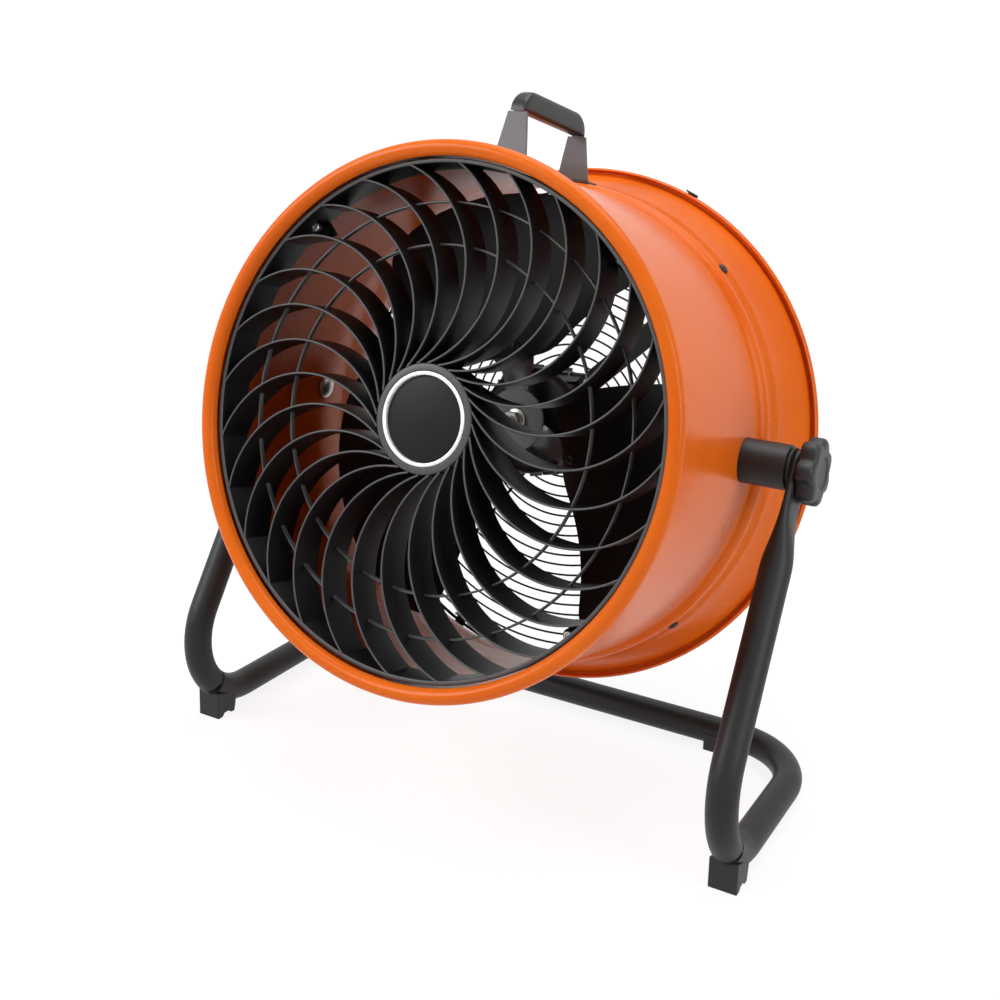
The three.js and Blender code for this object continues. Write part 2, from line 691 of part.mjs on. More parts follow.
// A blade's sheet, or the space it needs, from its back face forward.
function bladeSheet(back, wall, grow) {
  const half = (share, radius) => {
    const width = radians(THREE.MathUtils.lerp(bladeHalfRoot, bladeHalfTip, share));
    const tipShare = share > 1 - cornerShare ? tipCut : 1;
    return width * tipShare * (share < cornerShare ? rootCut : 1) + grow / radius;
  };
  const sweep = (share) => radians(THREE.MathUtils.lerp(bladeSweepRoot, bladeSweepTip, share));
  return onScrew(bladeRoot - grow, bladeTip + grow, half, sweep, back, wall, 5, 6);
}

function fanBlade() {
  const seat = spiderWall + gap;
  return rivetsAt.reduce((blade, reach) => {
    const radius = bladeRoot + reach;
    const lean = bladeSlope(radius);
    const rise = 1 / Math.hypot(1, lean);
    const at = (height) => [radius, -seat - height * rise, -lean * height * rise];
    const face = bladeWall * rise;
    return blade.add(rod(rivetRadius, at(face / 2), at(face + rivetRise), boltSides));
  }, bladeSheet(seat, bladeWall, 0));
}

function addWheel(group) {
  const hole = shaftRadius + gap;
  const hub = [[hole, -hubBehind], [hubRadius, -hubBehind], [hubRadius, 0]];
  let spider = turned([...hub, [hubPlate, 0], [hubPlate, spiderWall], [hole, spiderWall]], smallSides);
  for (let i = 0; i < bladeCount; i++) {
    const angle = bladePhase + (360 * i) / bladeCount;
    const half = (share, radius) => spiderArm / 2 / radius;
    const arm = onScrew(hubPlate - past, armReach, half, () => 0, 0, spiderWall, 5, 2);
    const room = bladeSheet(spiderWall - gap, 3 * spiderWall, 2 * gap);
    spider = spider.add(spun(arm, angle)).subtract(spun(room, angle));
    add(group, `fan_blade_${i + 1}`, spun(fanBlade(), angle), black);
  }
  add(group, 'fan_spider', spider, steel);
  const thread = shaftRadius - 1;
  const low = motorBack + bearingBack + gap;
  const shaft = [[0, low], [shaftRadius, low], [shaftRadius, bite]];
  const tip = [[thread, 2 * bite], [thread, threadEnd], [0, threadEnd]];
  add(group, 'motor_shaft', turned([...shaft, ...tip], smallSides), steel);
  const ends = [motorFront - rotorAt, motorBack + rotorAt];
  const core = [[hole, ends[0]], [rotorRadius, ends[0]], [rotorRadius, ends[1]], [hole, ends[1]]];
  add(group, 'rotor', turned(core, smallSides), steel);
  const seat = -spiderWall - gap;
  const flange = rod(nutFlange, [0, seat, 0], [0, seat - nutFlangeRise, 0], smallSides);
  const hex = rod(nutRadius, [0, seat - bite, 0], [0, seat - nutRise, 0], 6);
  const threadHole = rod(thread + gap, [0, 0, 0], [0, -threadEnd - past, 0], smallSides);
  add(group, 'hub_nut', flange.add(hex).subtract(threadHole), steel);
}

// ---------- Rear guard and switch ----------

function rearGuard() {
  const faces = [guardPlane + discHalf, guardPlane - discHalf];
  const disc = [[0, faces[0]], [guardDisc, faces[0]], [guardDisc, faces[1]], [0, faces[1]]];
  let guard = turned(disc, wireSides);
  const rings = Math.floor((guardOuter - guardDisc) / wirePitch);
  for (let i = 0; i <= rings; i++) {
    const radius = guardOuter - i * wirePitch;
    const wire = i === 0 ? wireRadius * rimWire : wireRadius;
    const front = guardPlane + wire / 2;
    const section = [[radius - wire, front], [radius, guardPlane - wire], [radius + wire, front]];
    guard = guard.add(turned(section, wireSides));
  }
  const lower = -guardPlane + wireRadius + ribRadius * 0.6;
  for (let i = 0; i < ribCount; i++) {
    const high = [guardOuter + bite, lower + ribRadius, ribRadius];
    const rib = block([guardDisc - 4 * bite, lower - ribRadius, -ribRadius], high);
    guard = guard.add(spun(rib, (360 * (i + 0.5)) / ribCount + ribSpin));
  }
  return guard;
}

function addRear(group) {
  add(group, 'rear_guard', rearGuard(), black);
  screwAngles.forEach((angle, i) => {
    const back = drumBehind + gap;
    const inner = guardOuter - wirePitch / 2;
    const outer = rimRadius + gap;
    const half = clipWall / 2;
    const side = outer + clipWall;
    const plate = block([inner - half, back, -clipHalf], [side, back + clipWall, clipHalf]);
    const hookLow = [inner - half, -guardPlane - clipHook, -clipHalf];
    const hook = block(hookLow, [inner + half, back + half, clipHalf]);
    const lip = block([outer, drumBehind - 1.5 * rearBead, -clipHalf], [side, back + half, clipHalf]);
    add(group, `guard_clip_${i + 1}`, spun(plate.add(hook).add(lip), angle + clipSpin), black);
  });
  const mouth = guardPlane - discHalf - gap;
  const back = mouth - boxDepth;
  const inner = boxRadius - boxWall;
  const outside = [[boxRadius, mouth], [boxRadius, back + boxSlope], [boxRadius - boxSlope, back]];
  const inside = [[0, back + boxWall], [inner, back + boxWall], [inner, mouth]];
  const box = turned([...outside, [0, back], ...inside], smallSides);
  const knobHole = rod(switchShaft + boltPlay, [0, -back - past, 0], [0, -back + past, 0], boltSides);
  const below = (depth) => [0, -back + depth, -glandDrop];
  const glandHole = rod(glandRadius + boltPlay, below(-past), below(past), smallSides);
  add(group, 'switch_box', box.subtract(knobHole).subtract(glandHole), black);
  const floor = -back - boxWall - gap;
  const low = floor - switchDeep;
  const shaft = rod(switchShaft, [0, floor - bite, 0], [0, -back + 8 * bite, 0], boltSides);
  const body = block([-switchHalf, low, 2 * bite - switchHalf], [switchHalf, floor, switchHalf]);
  add(group, 'rotary_switch', body.add(shaft), steel);
  const above = switchHalf + 2 * bite;
  const can = block([-capacitorHalf, low, above], [capacitorHalf, floor, above + switchDeep]);
  add(group, 'capacitor', can, cast);
  const stem = rod(glandRadius, below(-past - boxWall), below(glandRise), smallSides);
  const flange = rod(glandFlange, below(gap), below(glandFlangeRise), smallSides);
  const lead = rod(cordHole, below(-2 * past), below(glandRise + past), boltSides);
  add(group, 'cable_gland', stem.add(flange).subtract(lead), black);
  return back;
}

function speedKnob(back) {
  const face = -back + 2 * gap;
  const grip = rod(knobRadius, [0, face, 0], [0, face + knobBase, 0], smallSides);
  const half = knobRadius - bite;
  const bar = block([-knobBar, face + knobBase - bite, -half], [knobBar, face + knobRise, half]);
  const socket = rod(switchShaft + gap, [0, face - past, 0], [0, -back + past, 0], boltSides);
  return grip.add(bar).subtract(socket);
}

// ---------- Pivots ----------

const flatInner = legPlane - pinchHalf;
const flatOuter = legPlane + pinchHalf;

function addPivot(group, side, name) {
  const x = (distance) => side * distance;
  const ring = (radius, hole, from, to, sides) => {
    const outer = rod(radius, [x(from), 0, 0], [x(to), 0, 0], sides);
    return outer.subtract(rod(hole, [x(from - past), 0, 0], [x(to + past), 0, 0], boltSides));
  };
  const washerFrom = flatInner - gap - washerWall;
  const spacer = ring(spacerRadius, pivotBolt + boltPlay, bore, washerFrom - gap, smallSides);
  add(group, `pivot_spacer_${name}`, spacer.subtract(drumEnvelope()), black);
  const washer = ring(spacerRadius - 2 * bite, pivotBolt + boltPlay, washerFrom, flatInner - gap, smallSides);
  add(group, `friction_washer_${name}`, washer, black);
  const headOut = bore - 4 * gap;
  const head = rod(boltHead[0], [x(headOut - boltHead[1]), 0, 0], [x(headOut), 0, 0], smallSides);
  const dome = rod(boltDome[0], [x(headOut - boltDome[1]), 0, 0], [x(headOut), 0, 0], smallSides);
  const end = flatOuter + clampWidth - clampFloor - bite;
  const shank = rod(pivotBolt, [x(headOut - bite), 0, 0], [x(end), 0, 0], boltSides);
  add(group, `pivot_bolt_${name}`, head.add(dome).add(shank), steel);
}

// A lobed clamp knob on the bolt's end, with a dished outer face.
function clampKnob(side) {
  const points = [];
  const steps = 4 * clampLobes;
  for (let i = 0; i < steps; i++) {
    const turn = (360 * i) / steps;
    const radius = clampRadius + clampLobe * Math.cos(radians(clampLobes * turn));
    points.push(polar(radius, turn));
  }
  const from = flatOuter + gap;
  const to = from + clampWidth;
  const slope = { bevelThickness: clampEdge, bevelSize: clampEdge, bevelOffset: -clampEdge };
  const ends = side > 0 ? [from, to] : [-to, -from];
  const body = sideCut(points, ...ends, { ...slope, bevelSegments: 1 });
  const holeEnd = [side * (to - clampFloor), 0, 0];
  const hole = rod(pivotBolt + boltPlay, [side * (from - past), 0, 0], holeEnd, boltSides);
  const [radius, depth] = clampDish;
  const dish = rod(radius, [side * (to - depth), 0, 0], [side * (to + past), 0, 0], smallSides);
  return body.subtract(hole).subtract(dish);
}

// ---------- Stand ----------

const legDown = new THREE.Vector3(0, -Math.sin(legLean), -Math.cos(legLean));

// The bent tube's centre line: corners rounded by arcs, given as stations that the sweep stops at.
class BentTube extends THREE.Curve {
  constructor(stations) {
    super();
    this.stations = stations;
  }
  getPoint(share, target = new THREE.Vector3()) {
    const place = THREE.MathUtils.clamp(share, 0, 1) * (this.stations.length - 1);
    const i = Math.min(Math.floor(place), this.stations.length - 2);
    return target.lerpVectors(this.stations[i], this.stations[i + 1], place - i);
  }
  getTangent(share, target = new THREE.Vector3()) {
    const i = Math.round(share * (this.stations.length - 1));
    const before = this.stations[Math.max(i - 1, 0)];
    const after = this.stations[Math.min(i + 1, this.stations.length - 1)];
    const here = this.stations[i];
    const into = i > 0 ? here.clone().sub(before).normalize() : new THREE.Vector3();
    const out = i < this.stations.length - 1 ? after.clone().sub(here).normalize() : new THREE.Vector3();
    return target.copy(into).add(out).normalize();
  }
  getUtoTmapping(share) {
    return share;
  }
}

// Stations round a corner between two straight runs.
function bend(before, corner, after, radius, steps) {
  const back = before.clone().sub(corner).normalize();
  const on = after.clone().sub(corner).normalize();
  const half = back.angleTo(on) / 2;
  const centre = back.clone().add(on).normalize().multiplyScalar(radius / Math.sin(half)).add(corner);
  const start = back.clone().multiplyScalar(radius / Math.tan(half)).add(corner).sub(centre);
  const end = on.clone().multiplyScalar(radius / Math.tan(half)).add(corner).sub(centre);
  const sweep = start.angleTo(end);
  return Array.from({ length: steps + 1 }, (_, i) => {
    const share = i / steps;
    const from = start.clone().multiplyScalar(Math.sin((1 - share) * sweep) / Math.sin(sweep));
    return from.addScaledVector(end, Math.sin(share * sweep) / Math.sin(sweep)).add(centre);
  });
}

function standStations() {
  const pivot = new THREE.Vector3(legPlane, 0, 0);
  const corner = new THREE.Vector3(legPlane, -legReach, railDrop);
  const rear = new THREE.Vector3(legPlane, barBehind, railDrop);
  const middle = new THREE.Vector3(0, barBehind, railDrop);
  const blend = [0, 1, 2, 3].map((third) => pinchLength + (third * pinchBlend) / 3);
  const downs = [-pinchEnd, 0, ...blend];
  const leg = downs.map((down) => pivot.clone().addScaledVector(legDown, down));
  const bends = [...bend(pivot, corner, rear, frontBend, 6), ...bend(corner, rear, middle, rearBend, 4)];
  const half = [...leg, ...bends];
  return [...half, ...half.map((point) => point.clone().setX(-point.x)).reverse()];
}

// A round section, with its bore if it is hollow, carried along the stand's line.
function sweptTube(radius, hole) {
  const ring = (size) => Array.from({ length: tubeSides }, (_, i) => {
    return new THREE.Vector2(...polar(size, (360 * i) / tubeSides));
  });
  const shape = new THREE.Shape(ring(radius));
  if (hole > 0) shape.holes.push(new THREE.Path(ring(hole)));
  const stations = standStations();
  const options = { steps: stations.length - 1, bevelEnabled: false, extrudePath: new BentTube(stations) };
  return new THREE.ExtrudeGeometry(shape, options);
}

// Flattens a swept tube towards its two ends, keeping the wall's thickness.
function pinched(geometry, outer, inner) {
  const points = geometry.attributes.position;
  const across = new THREE.Vector3(0, legDown.z, -legDown.y);
  const place = new THREE.Vector3();
  const flatWidth = (Math.PI * (outer - pinchHalf)) / 2 + pinchHalf;
  for (let i = 0; i < points.count; i++) {
    place.fromBufferAttribute(points, i);
    const side = Math.sign(place.x);
    const u = place.x - side * legPlane;
    const flat = new THREE.Vector3(0, place.y, place.z);
    const down = flat.dot(legDown);
    const v = flat.dot(across);
    const blend = 1 - THREE.MathUtils.smoothstep(down, pinchLength, pinchLength + pinchBlend);
    if (blend > 0 && Math.hypot(u, v) < 1.2 * outer) {
      const wall = Math.hypot(u, v) > (outer + inner) / 2 ? 0 : outer - inner;
      const round = Math.hypot(u, v);
      const thick = Math.sign(u) * Math.min(1, (1.5 * Math.abs(u)) / round) * (pinchHalf - wall);
      const wide = (v / round) * (flatWidth - wall);
      const flatU = THREE.MathUtils.lerp(u, thick, blend);
      const flatV = THREE.MathUtils.lerp(v, wide, blend);
      place.set(side * legPlane + flatU, 0, 0).addScaledVector(legDown, down).addScaledVector(across, flatV);
      points.setXYZ(i, place.x, place.y, place.z);
    }
  }
  return solid(geometry);
}

function standTube() {
  const inner = tubeRadius - tubeWall;
  let tube = pinched(sweptTube(tubeRadius, inner), tubeRadius, inner);
  tube = tube.subtract(rod(pivotBolt + boltPlay, [-2 * legPlane, 0, 0], [2 * legPlane, 0, 0], boltSides));
  const tip = new THREE.Shape();
  tip.moveTo(-2 * pinchEnd, 0);
  tip.absarc(0, 0, pinchEnd, Math.PI, 0, true);
  tip.lineTo(2 * pinchEnd, 0);
  tip.lineTo(2 * pinchEnd, 2 * pinchEnd);
  tip.lineTo(-2 * pinchEnd, 2 * pinchEnd);
  const depth = 2 * (legPlane + tubeRadius);
  const cutter = new THREE.ExtrudeGeometry(tip, { depth, bevelEnabled: false, curveSegments: 10 });
  cutter.translate(0, 0, -depth / 2);
  const up = legDown.clone().negate();
  const across = new THREE.Vector3(0, up.z, -up.y);
  cutter.applyMatrix4(new THREE.Matrix4().makeBasis(across, up, new THREE.Vector3(-1, 0, 0)));
  return tube.subtract(solid(cutter));
}

// Foot clips: blocks hollowed to the tube, with an arch between two pads.
function addFeet(group) {
  const saddle = solid(sweptTube(tubeRadius + gap, 0));
  const floor = -pivotHeight;
  const pads = (from, to, rise) => [
    [from, floor], [from + padLength, floor], [from + padLength + rise, floor + rise],
    [to - padLength - rise, floor + rise], [to - padLength, floor], [to, floor],
  ];
  for (const [name, side] of [['right', 1], ['left', -1]]) {
    const ends = [side * legPlane - clipWidth / 2, side * legPlane + clipWidth / 2];
    const outline = pads(-clipFront, -clipFront + clipLength, archRise);
    const lean = [-clipFront + clipLength + clipSlope, floor + clipRise * clipLow];
    outline.push(lean, [-clipFront, floor + clipRise]);
    add(group, `foot_clip_front_${name}`, sideCut(outline, ...ends).subtract(saddle), black);
    const half = tubeRadius + rearPlay;
    const rear = pads(barBehind - half, barBehind + half, archRise / 3);
    const top = floor + railLift + rearPlay;
    rear.push([barBehind + half, top], [barBehind - half, top]);
    const middle = side * rearClipAt;
    const clip = sideCut(rear, middle - clipWidth / 2, middle + clipWidth / 2).subtract(saddle);
    add(group, `foot_clip_rear_${name}`, clip, black);
  }
}

// ---------- Assembly ----------

const fan = new THREE.Group();
const stand = new THREE.Group();
add(stand, 'stand_tube', standTube(), powder);
addFeet(stand);
fan.add(stand);

const drum = new THREE.Group();
drum.rotation.x = -radians(tiltAngle);
add(drum, 'drum_shell', drumShell(), orange);
addGrille(drum);
addHandle(drum);
addMotor(drum);
addWheel(drum);
const boxBack = addRear(drum);
add(drum, 'speed_knob', speedKnob(boxBack), black);
for (const [name, side] of [['right', 1], ['left', -1]]) {
  addPivot(drum, side, name);
  add(drum, `clamp_knob_${name}`, clampKnob(side), black);
}
fan.add(drum);

// The floor is at Z = 0 and the box is centred on the origin.
fan.updateMatrixWorld(true);
const box = new THREE.Box3().setFromObject(fan, true);
fan.position.set(0, -(box.min.y + box.max.y) / 2, pivotHeight);

export default fan;
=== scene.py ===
"""A drum fan on its bent tube stand, as it would be photographed on a pale studio floor.

Sizes are in millimetres, and each place on the drum is [across, ahead, up]: to the right of the tilt pivot as
seen from the front, in front of it along the drum, and above it square to the drum. Turns are in degrees.
"""

import json
import math

import bpy
import numpy as np
from mathutils import Matrix


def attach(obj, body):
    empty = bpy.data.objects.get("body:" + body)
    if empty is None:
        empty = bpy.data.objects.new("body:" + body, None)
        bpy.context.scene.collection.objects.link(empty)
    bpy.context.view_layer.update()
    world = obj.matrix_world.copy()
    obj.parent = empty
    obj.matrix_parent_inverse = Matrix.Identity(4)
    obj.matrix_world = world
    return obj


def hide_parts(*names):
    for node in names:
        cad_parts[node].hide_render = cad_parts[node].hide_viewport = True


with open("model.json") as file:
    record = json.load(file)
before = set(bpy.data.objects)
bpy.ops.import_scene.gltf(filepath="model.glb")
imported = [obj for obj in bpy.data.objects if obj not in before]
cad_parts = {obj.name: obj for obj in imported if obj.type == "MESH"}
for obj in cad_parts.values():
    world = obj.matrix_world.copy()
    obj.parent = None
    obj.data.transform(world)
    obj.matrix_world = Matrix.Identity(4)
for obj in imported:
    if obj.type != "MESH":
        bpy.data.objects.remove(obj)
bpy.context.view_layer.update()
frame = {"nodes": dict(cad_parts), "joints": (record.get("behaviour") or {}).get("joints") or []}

# ---------------------------------------------------------------------------------------------------------
# Drum shell. One band of 1.2 mm steel, rolled round, seam-welded and enamelled: a straight cylinder, a pressed
# step, a bell mouth that flares to the back, and both rims curled outwards over themselves.
joint = {j["name"]: j for j in frame["joints"]}
pivot = np.array(joint["drum_tilt"]["pos_m"])
forward = np.array(joint["fan_spin"]["axis"])
upward = np.array([0.0, forward[2], -forward[1]])


def on_drum(local):
    """Places [across, ahead, up] as metres in the frame, along the drum's own tilted axes."""
    local = np.asarray(local, float) / 1000
    return pivot + local[..., :1] * [1.0, 0.0, 0.0] + local[..., 1:2] * forward + local[..., 2:] * upward


def on_stand(local):
    """Places [across, ahead, up] from the pivot, level with the floor, as metres in the frame."""
    return pivot + np.asarray(local, float) / 1000 * [1.0, -1.0, 1.0]


def spun(skins, degrees):
    """Turns a skin's places about the drum's axis, anticlockwise as seen from the front."""
    places, faces = skins
    turn = math.radians(degrees)
    across, ahead, up = places.T
    return np.stack([across * math.cos(turn) - up * math.sin(turn), ahead,
                     across * math.sin(turn) + up * math.cos(turn)], -1), faces


def skin(rings, joined=False):
    """A closed skin over a row of closed rings of places: quads between neighbouring rings, with a flat cap on
    each end, or with the last ring sewn to the first."""
    rings = np.asarray(rings, float)
    rows, around = rings.shape[:2]
    here = np.arange(rows if joined else rows - 1)[:, None] * around
    side = np.arange(around)[None, :]
    ahead = (here + around) % (rows * around)
    beside = (side + 1) % around
    quads = np.stack([here + side, here + beside, ahead + beside, ahead + side], -1).reshape(-1, 4)
    faces = [quads]
    if not joined:
        faces += [side[:, ::-1], side + (rows - 1) * around]
    return rings.reshape(-1, 3), faces


def facing_out(places, faces):
    """Turns a closed skin's faces over where the volume inside it, summed over fans of triangles, is below zero."""
    volume = 0.0
    for group in faces:
        for corner in range(1, group.shape[1] - 1):
            first, second, third = (places[group[:, i]] for i in (0, corner, corner + 1))
            volume += np.einsum("ij,ij->", first, np.cross(second, third))
    return faces if volume > 0 else [group[:, ::-1] for group in faces]


def piece(name, skins, finish, body, nodes=(), place=on_drum, bevel=0.0, crease=35.0):
    """One object from closed skins, shaded smooth up to the crease angle, in its finish and on its body."""
    points, totals, corners, used = [], [], [], 0
    for local, faces in skins:
        placed = place(local)
        for group in facing_out(placed - placed.mean(0), faces):
            corners.append((group + used).ravel())
            totals.append(np.full(len(group), group.shape[1]))
        points.append(placed)
        used += len(placed)
    corners, totals = np.concatenate(corners), np.concatenate(totals)
    mesh = bpy.data.meshes.new(name)
    mesh.vertices.add(used)
    mesh.vertices.foreach_set("co", np.concatenate(points).astype(np.float32).ravel())
    mesh.loops.add(len(corners))
    mesh.loops.foreach_set("vertex_index", corners.astype(np.int32))
    mesh.polygons.add(len(totals))
    mesh.polygons.foreach_set("loop_start", (np.cumsum(totals) - totals).astype(np.int32))
    mesh.update(calc_edges=True)
    mesh.validate()
    mesh.polygons.foreach_set("use_smooth", np.ones(len(mesh.polygons), bool))
    mesh.set_sharp_from_angle(angle=math.radians(crease))
    mesh.materials.append(finish)
    made = bpy.data.objects.new(name, mesh)
    bpy.context.scene.collection.objects.link(made)
    if bevel:
        edge = made.modifiers.new("edge", "BEVEL")
        edge.width = bevel / 1000
        edge.segments = 2
        edge.limit_method = "ANGLE"
        edge.angle_limit = math.radians(crease)
    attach(made, body)
    if nodes:
        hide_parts(*nodes)
    return made


def arc(radius, ahead, size, start, end, count):
    """Points [radius, ahead] on a round of the given size about a centre, at equal turns from start to end."""
    turn = np.radians(np.linspace(start, end, count))
    return np.stack([radius + size * np.sin(turn), ahead + size * np.cos(turn)], -1)


def turned(profile, sides=96, ring=True):
    """A profile of [radius, ahead] points turned about the drum's axis. A ring's profile closes on itself."""
    profile = np.asarray(profile, float)
    turn = np.linspace(0, 2 * math.pi, sides, endpoint=False)
    radius, ahead = profile[:, :1], profile[:, 1:]
    places = np.stack([radius * np.cos(turn), ahead + 0 * turn, radius * np.sin(turn)], -1)
    return skin(places, joined=ring)


def sheet_profile(line, wall):
    """A closed profile round a sheet: its middle line moved half the wall along the line's normal both ways."""
    along = np.gradient(line, axis=0)
    normal = np.stack([-along[:, 1], along[:, 0]], -1) / np.linalg.norm(along, axis=1, keepdims=True)
    return np.concatenate([line + normal * wall / 2, (line - normal * wall / 2)[::-1]])


class Link:
    """A shader socket that takes part in sums, so that a pattern reads as an expression."""

    def __init__(self, tree, socket):
        self.tree = tree
        self.socket = socket

    def maths(self, operation, first, second):
        node = self.tree.nodes.new("ShaderNodeMath")
        node.operation = operation
        for value, socket in zip((first, second), node.inputs):
            if isinstance(value, Link):
                self.tree.links.new(value.socket, socket)
            else:
                socket.default_value = value
        return Link(self.tree, node.outputs[0])

    def __add__(self, other):
        return self.maths("ADD", self, other)

    def __radd__(self, other):
        return self.maths("ADD", other, self)

    def __sub__(self, other):
        return self.maths("SUBTRACT", self, other)

    def __rsub__(self, other):
        return self.maths("SUBTRACT", other, self)

    def __mul__(self, other):
        return self.maths("MULTIPLY", self, other)

    def __rmul__(self, other):
        return self.maths("MULTIPLY", other, self)


class Finish:
    """A material with one Principled surface, and one method that adds any other node."""

    def __init__(self, name):
        self.material = bpy.data.materials.new(name)
        self.material.use_nodes = True
        self.tree = self.material.node_tree
        self.shader = self.tree.nodes["Principled BSDF"]
        self.place = self.node("ShaderNodeTexCoord", output="Object")

    def fill(self, node, values):
        for key, value in values.items():
            if isinstance(value, Link):
                self.tree.links.new(value.socket, node.inputs[key])
            else:
                node.inputs[key].default_value = value

    def node(self, kind, values=None, output=0, stops=(), **settings):
        """Adds a node: first its settings and a ramp's stops, then its sockets' values or links."""
        node = self.tree.nodes.new(kind)
        for key, value in settings.items():
            setattr(node, key, value)
        for i, (position, colour) in enumerate(stops):
            if i >= len(node.color_ramp.elements):
                node.color_ramp.elements.new(position)
            node.color_ramp.elements[i].position = position
            node.color_ramp.elements[i].color = (*colour, 1.0)
        self.fill(node, values or {})
        return Link(self.tree, node.outputs[output])

    def noise(self, scale, detail=2.0):
        """Cloudy noise from 0 to 1, with so many clouds to the metre."""
        return self.node("ShaderNodeTexNoise", {"Vector": self.place, "Scale": scale, "Detail": detail}, "Fac")

    def blend(self, share, dark, light):
        """A colour between two, by a share from 0 to 1."""
        return self.node("ShaderNodeValToRGB", {"Fac": share}, stops=((0.3, dark), (0.7, light)))

    def bump(self, height, distance):
        """Raises the surface by up to a distance in millimetres."""
        return self.node("ShaderNodeBump", {"Height": height, "Distance": distance / 1000, "Strength": 1.0})

    def surface(self, values):
        self.fill(self.shader, values)
        return self.material


def enamel(name, colour, shade):
    """Gloss stoving enamel: a colour that drifts a little, orange peel 3 mm across, and a clear hard surface."""
    paint = Finish(name)
    drift = paint.noise(9.0)
    peel = paint.noise(330.0, 1.0)
    return paint.surface({
        "Base Color": paint.blend(drift, shade, colour),
        "Roughness": 0.24 + 0.05 * paint.noise(45.0, 4.0),
        "Normal": paint.bump(peel, 0.006),
        "Specular IOR Level": 0.12, "Coat Weight": 0.05, "Coat Roughness": 0.08,
    })


orange = enamel("drum_enamel", (0.80, 0.15, 0.008), (0.76, 0.128, 0.006))
sheet_wall = 1.2
cylinder = 240.4  # radius of the sheet's middle
front_rim = (242.5, 180.0)  # centres of the rolled beads, [radius, ahead]
rear_rim = (269.5, -117.0)
front_roll = 6.7
rear_roll = 3.9


def wall_radius(ahead):
    """The cylinder, then a step that rises fast from -34 and levels off by -46, then from -68 a flare that grows
    with the power 1.5 of the share of its run, and adds 18 mm at its end."""
    step = 1 - (1 - np.clip((-34 - ahead) / 12, 0, 1)) ** 2.9
    run = np.clip((-68 - ahead) / 46.5, 0, 1)
    return cylinder + 6.6 * step + 18.15 * run ** 1.5


wall_ahead = np.concatenate([np.linspace(-113.8, -68, 16), np.linspace(-62, -46.4, 4),
                             -34 - 12 * np.linspace(0.98, 0.0, 14) ** 1.6, [0.0, 90.0, 168.0, 171.5]])
wall_line = np.stack([wall_radius(wall_ahead), wall_ahead], -1)
sheet_line = np.concatenate([arc(*rear_rim, rear_roll, 28, 284, 30), wall_line,
                             arc(*front_rim, front_roll, 202, 522, 38)])
piece("drum_sheet", [turned(sheet_profile(sheet_line, sheet_wall), 180)], orange, "drum", ["drum_shell"],
      crease=50)

# ---------------------------------------------------------------------------------------------------------
# Grille tabs. Four short steel tabs, spot-welded inside the drum and painted black, that the front grille is
# screwed to.
quarters = (45.0, 135.0, 225.0, 315.0)


def satin(name, colour, rough, grain=900.0, depth=0.02, metallic=0.0, gloss=0.35):
    """Satin paint or moulded plastic: fine grain in the surface, and a polish that varies over a hand's width."""
    coat = Finish(name)
    drift = coat.noise(14.0, 3.0)
    light = tuple(min(1.0, 1.25 * value + 0.002) for value in colour)
    return coat.surface({
        "Base Color": coat.blend(drift, colour, light),
        "Roughness": rough + 0.14 * (drift - 0.5),
        "Metallic": metallic, "Specular IOR Level": gloss,
        "Normal": coat.bump(coat.noise(grain, 2.0), depth),
    })


def slab(outline, low, high, along):
    """An outline of the other two coordinates, carried along one: 0 across, 1 ahead, 2 up."""
    outline = np.asarray(outline, float)
    return skin([np.insert(outline, along, value, axis=1) for value in (low, high)])


def brick(low, high):
    """A block between two corners, [across, ahead, up]."""
    (left, back, under), (right, front, over) = low, high
    return slab([(left, under), (right, under), (right, over), (left, over)], back, front, 1)


black_paint = satin("black_paint", (0.012, 0.012, 0.013), 0.42)
tab = brick((217, 134.6, -6), (239.6, 137.2, 6))
piece("grille_tabs", [spun(tab, turn) for turn in quarters], black_paint, "drum", bevel=0.8)

# ---------------------------------------------------------------------------------------------------------
# Motor bracket. Four flat steel arms, each bolted to an ear of the motor, and folded forward at its outer end
# into a tab that is screwed to the drum's wall. The screws are black pan heads outside the drum.
arm_wall = 3.0
arm_front = -62.1
arm_end = 244.6
fold = [(arm_end - 5 + 5 * math.sin(turn), arm_front + 2 - 5 * math.cos(turn))
        for turn in np.radians(np.linspace(0, 90, 6))]
arm_outline = [(57, arm_front), (57, arm_front - arm_wall), *fold, (arm_end, -43.2), (arm_end - arm_wall, -43.2),
               (arm_end - arm_wall, arm_front)]
arm = slab(arm_outline, -11, 11, 2)


def dome_head(radius, height, seat, count=10):
    """A pan head's profile [radius, height over its seat]: straight for a third, then a round shoulder."""
    turn = np.linspace(0, math.pi / 2, count)
    shoulder = np.stack([radius - height * 0.8 + height * 0.8 * np.cos(turn),
                         seat + height * (0.3 + 0.7 * np.sin(turn))], -1)
    return np.concatenate([[(radius, seat)], shoulder])


def screw(at, direction, radius, height):
    """A pan head at a place, facing a direction, with a round driver recess in its top."""
    direction = np.asarray(direction, float)
    aside = np.cross(direction, [0.0, 1.0, 0.0] if abs(direction[1]) < 0.9 else [1.0, 0.0, 0.0])
    aside /= np.linalg.norm(aside)
    other = np.cross(direction, aside)
    profile = dome_head(radius, height, 0.0)
    recess = [(radius * 0.5, height), (radius * 0.42, height * 0.55), (radius * 0.1, height * 0.5)]
    profile = np.concatenate([profile, recess])
    turn = np.linspace(0, 2 * math.pi, 28, endpoint=False)
    rings = (np.asarray(at, float) + profile[:, 1, None, None] * direction
             + profile[:, 0, None, None] * (np.cos(turn)[:, None] * aside + np.sin(turn)[:, None] * other))
    return skin(rings)


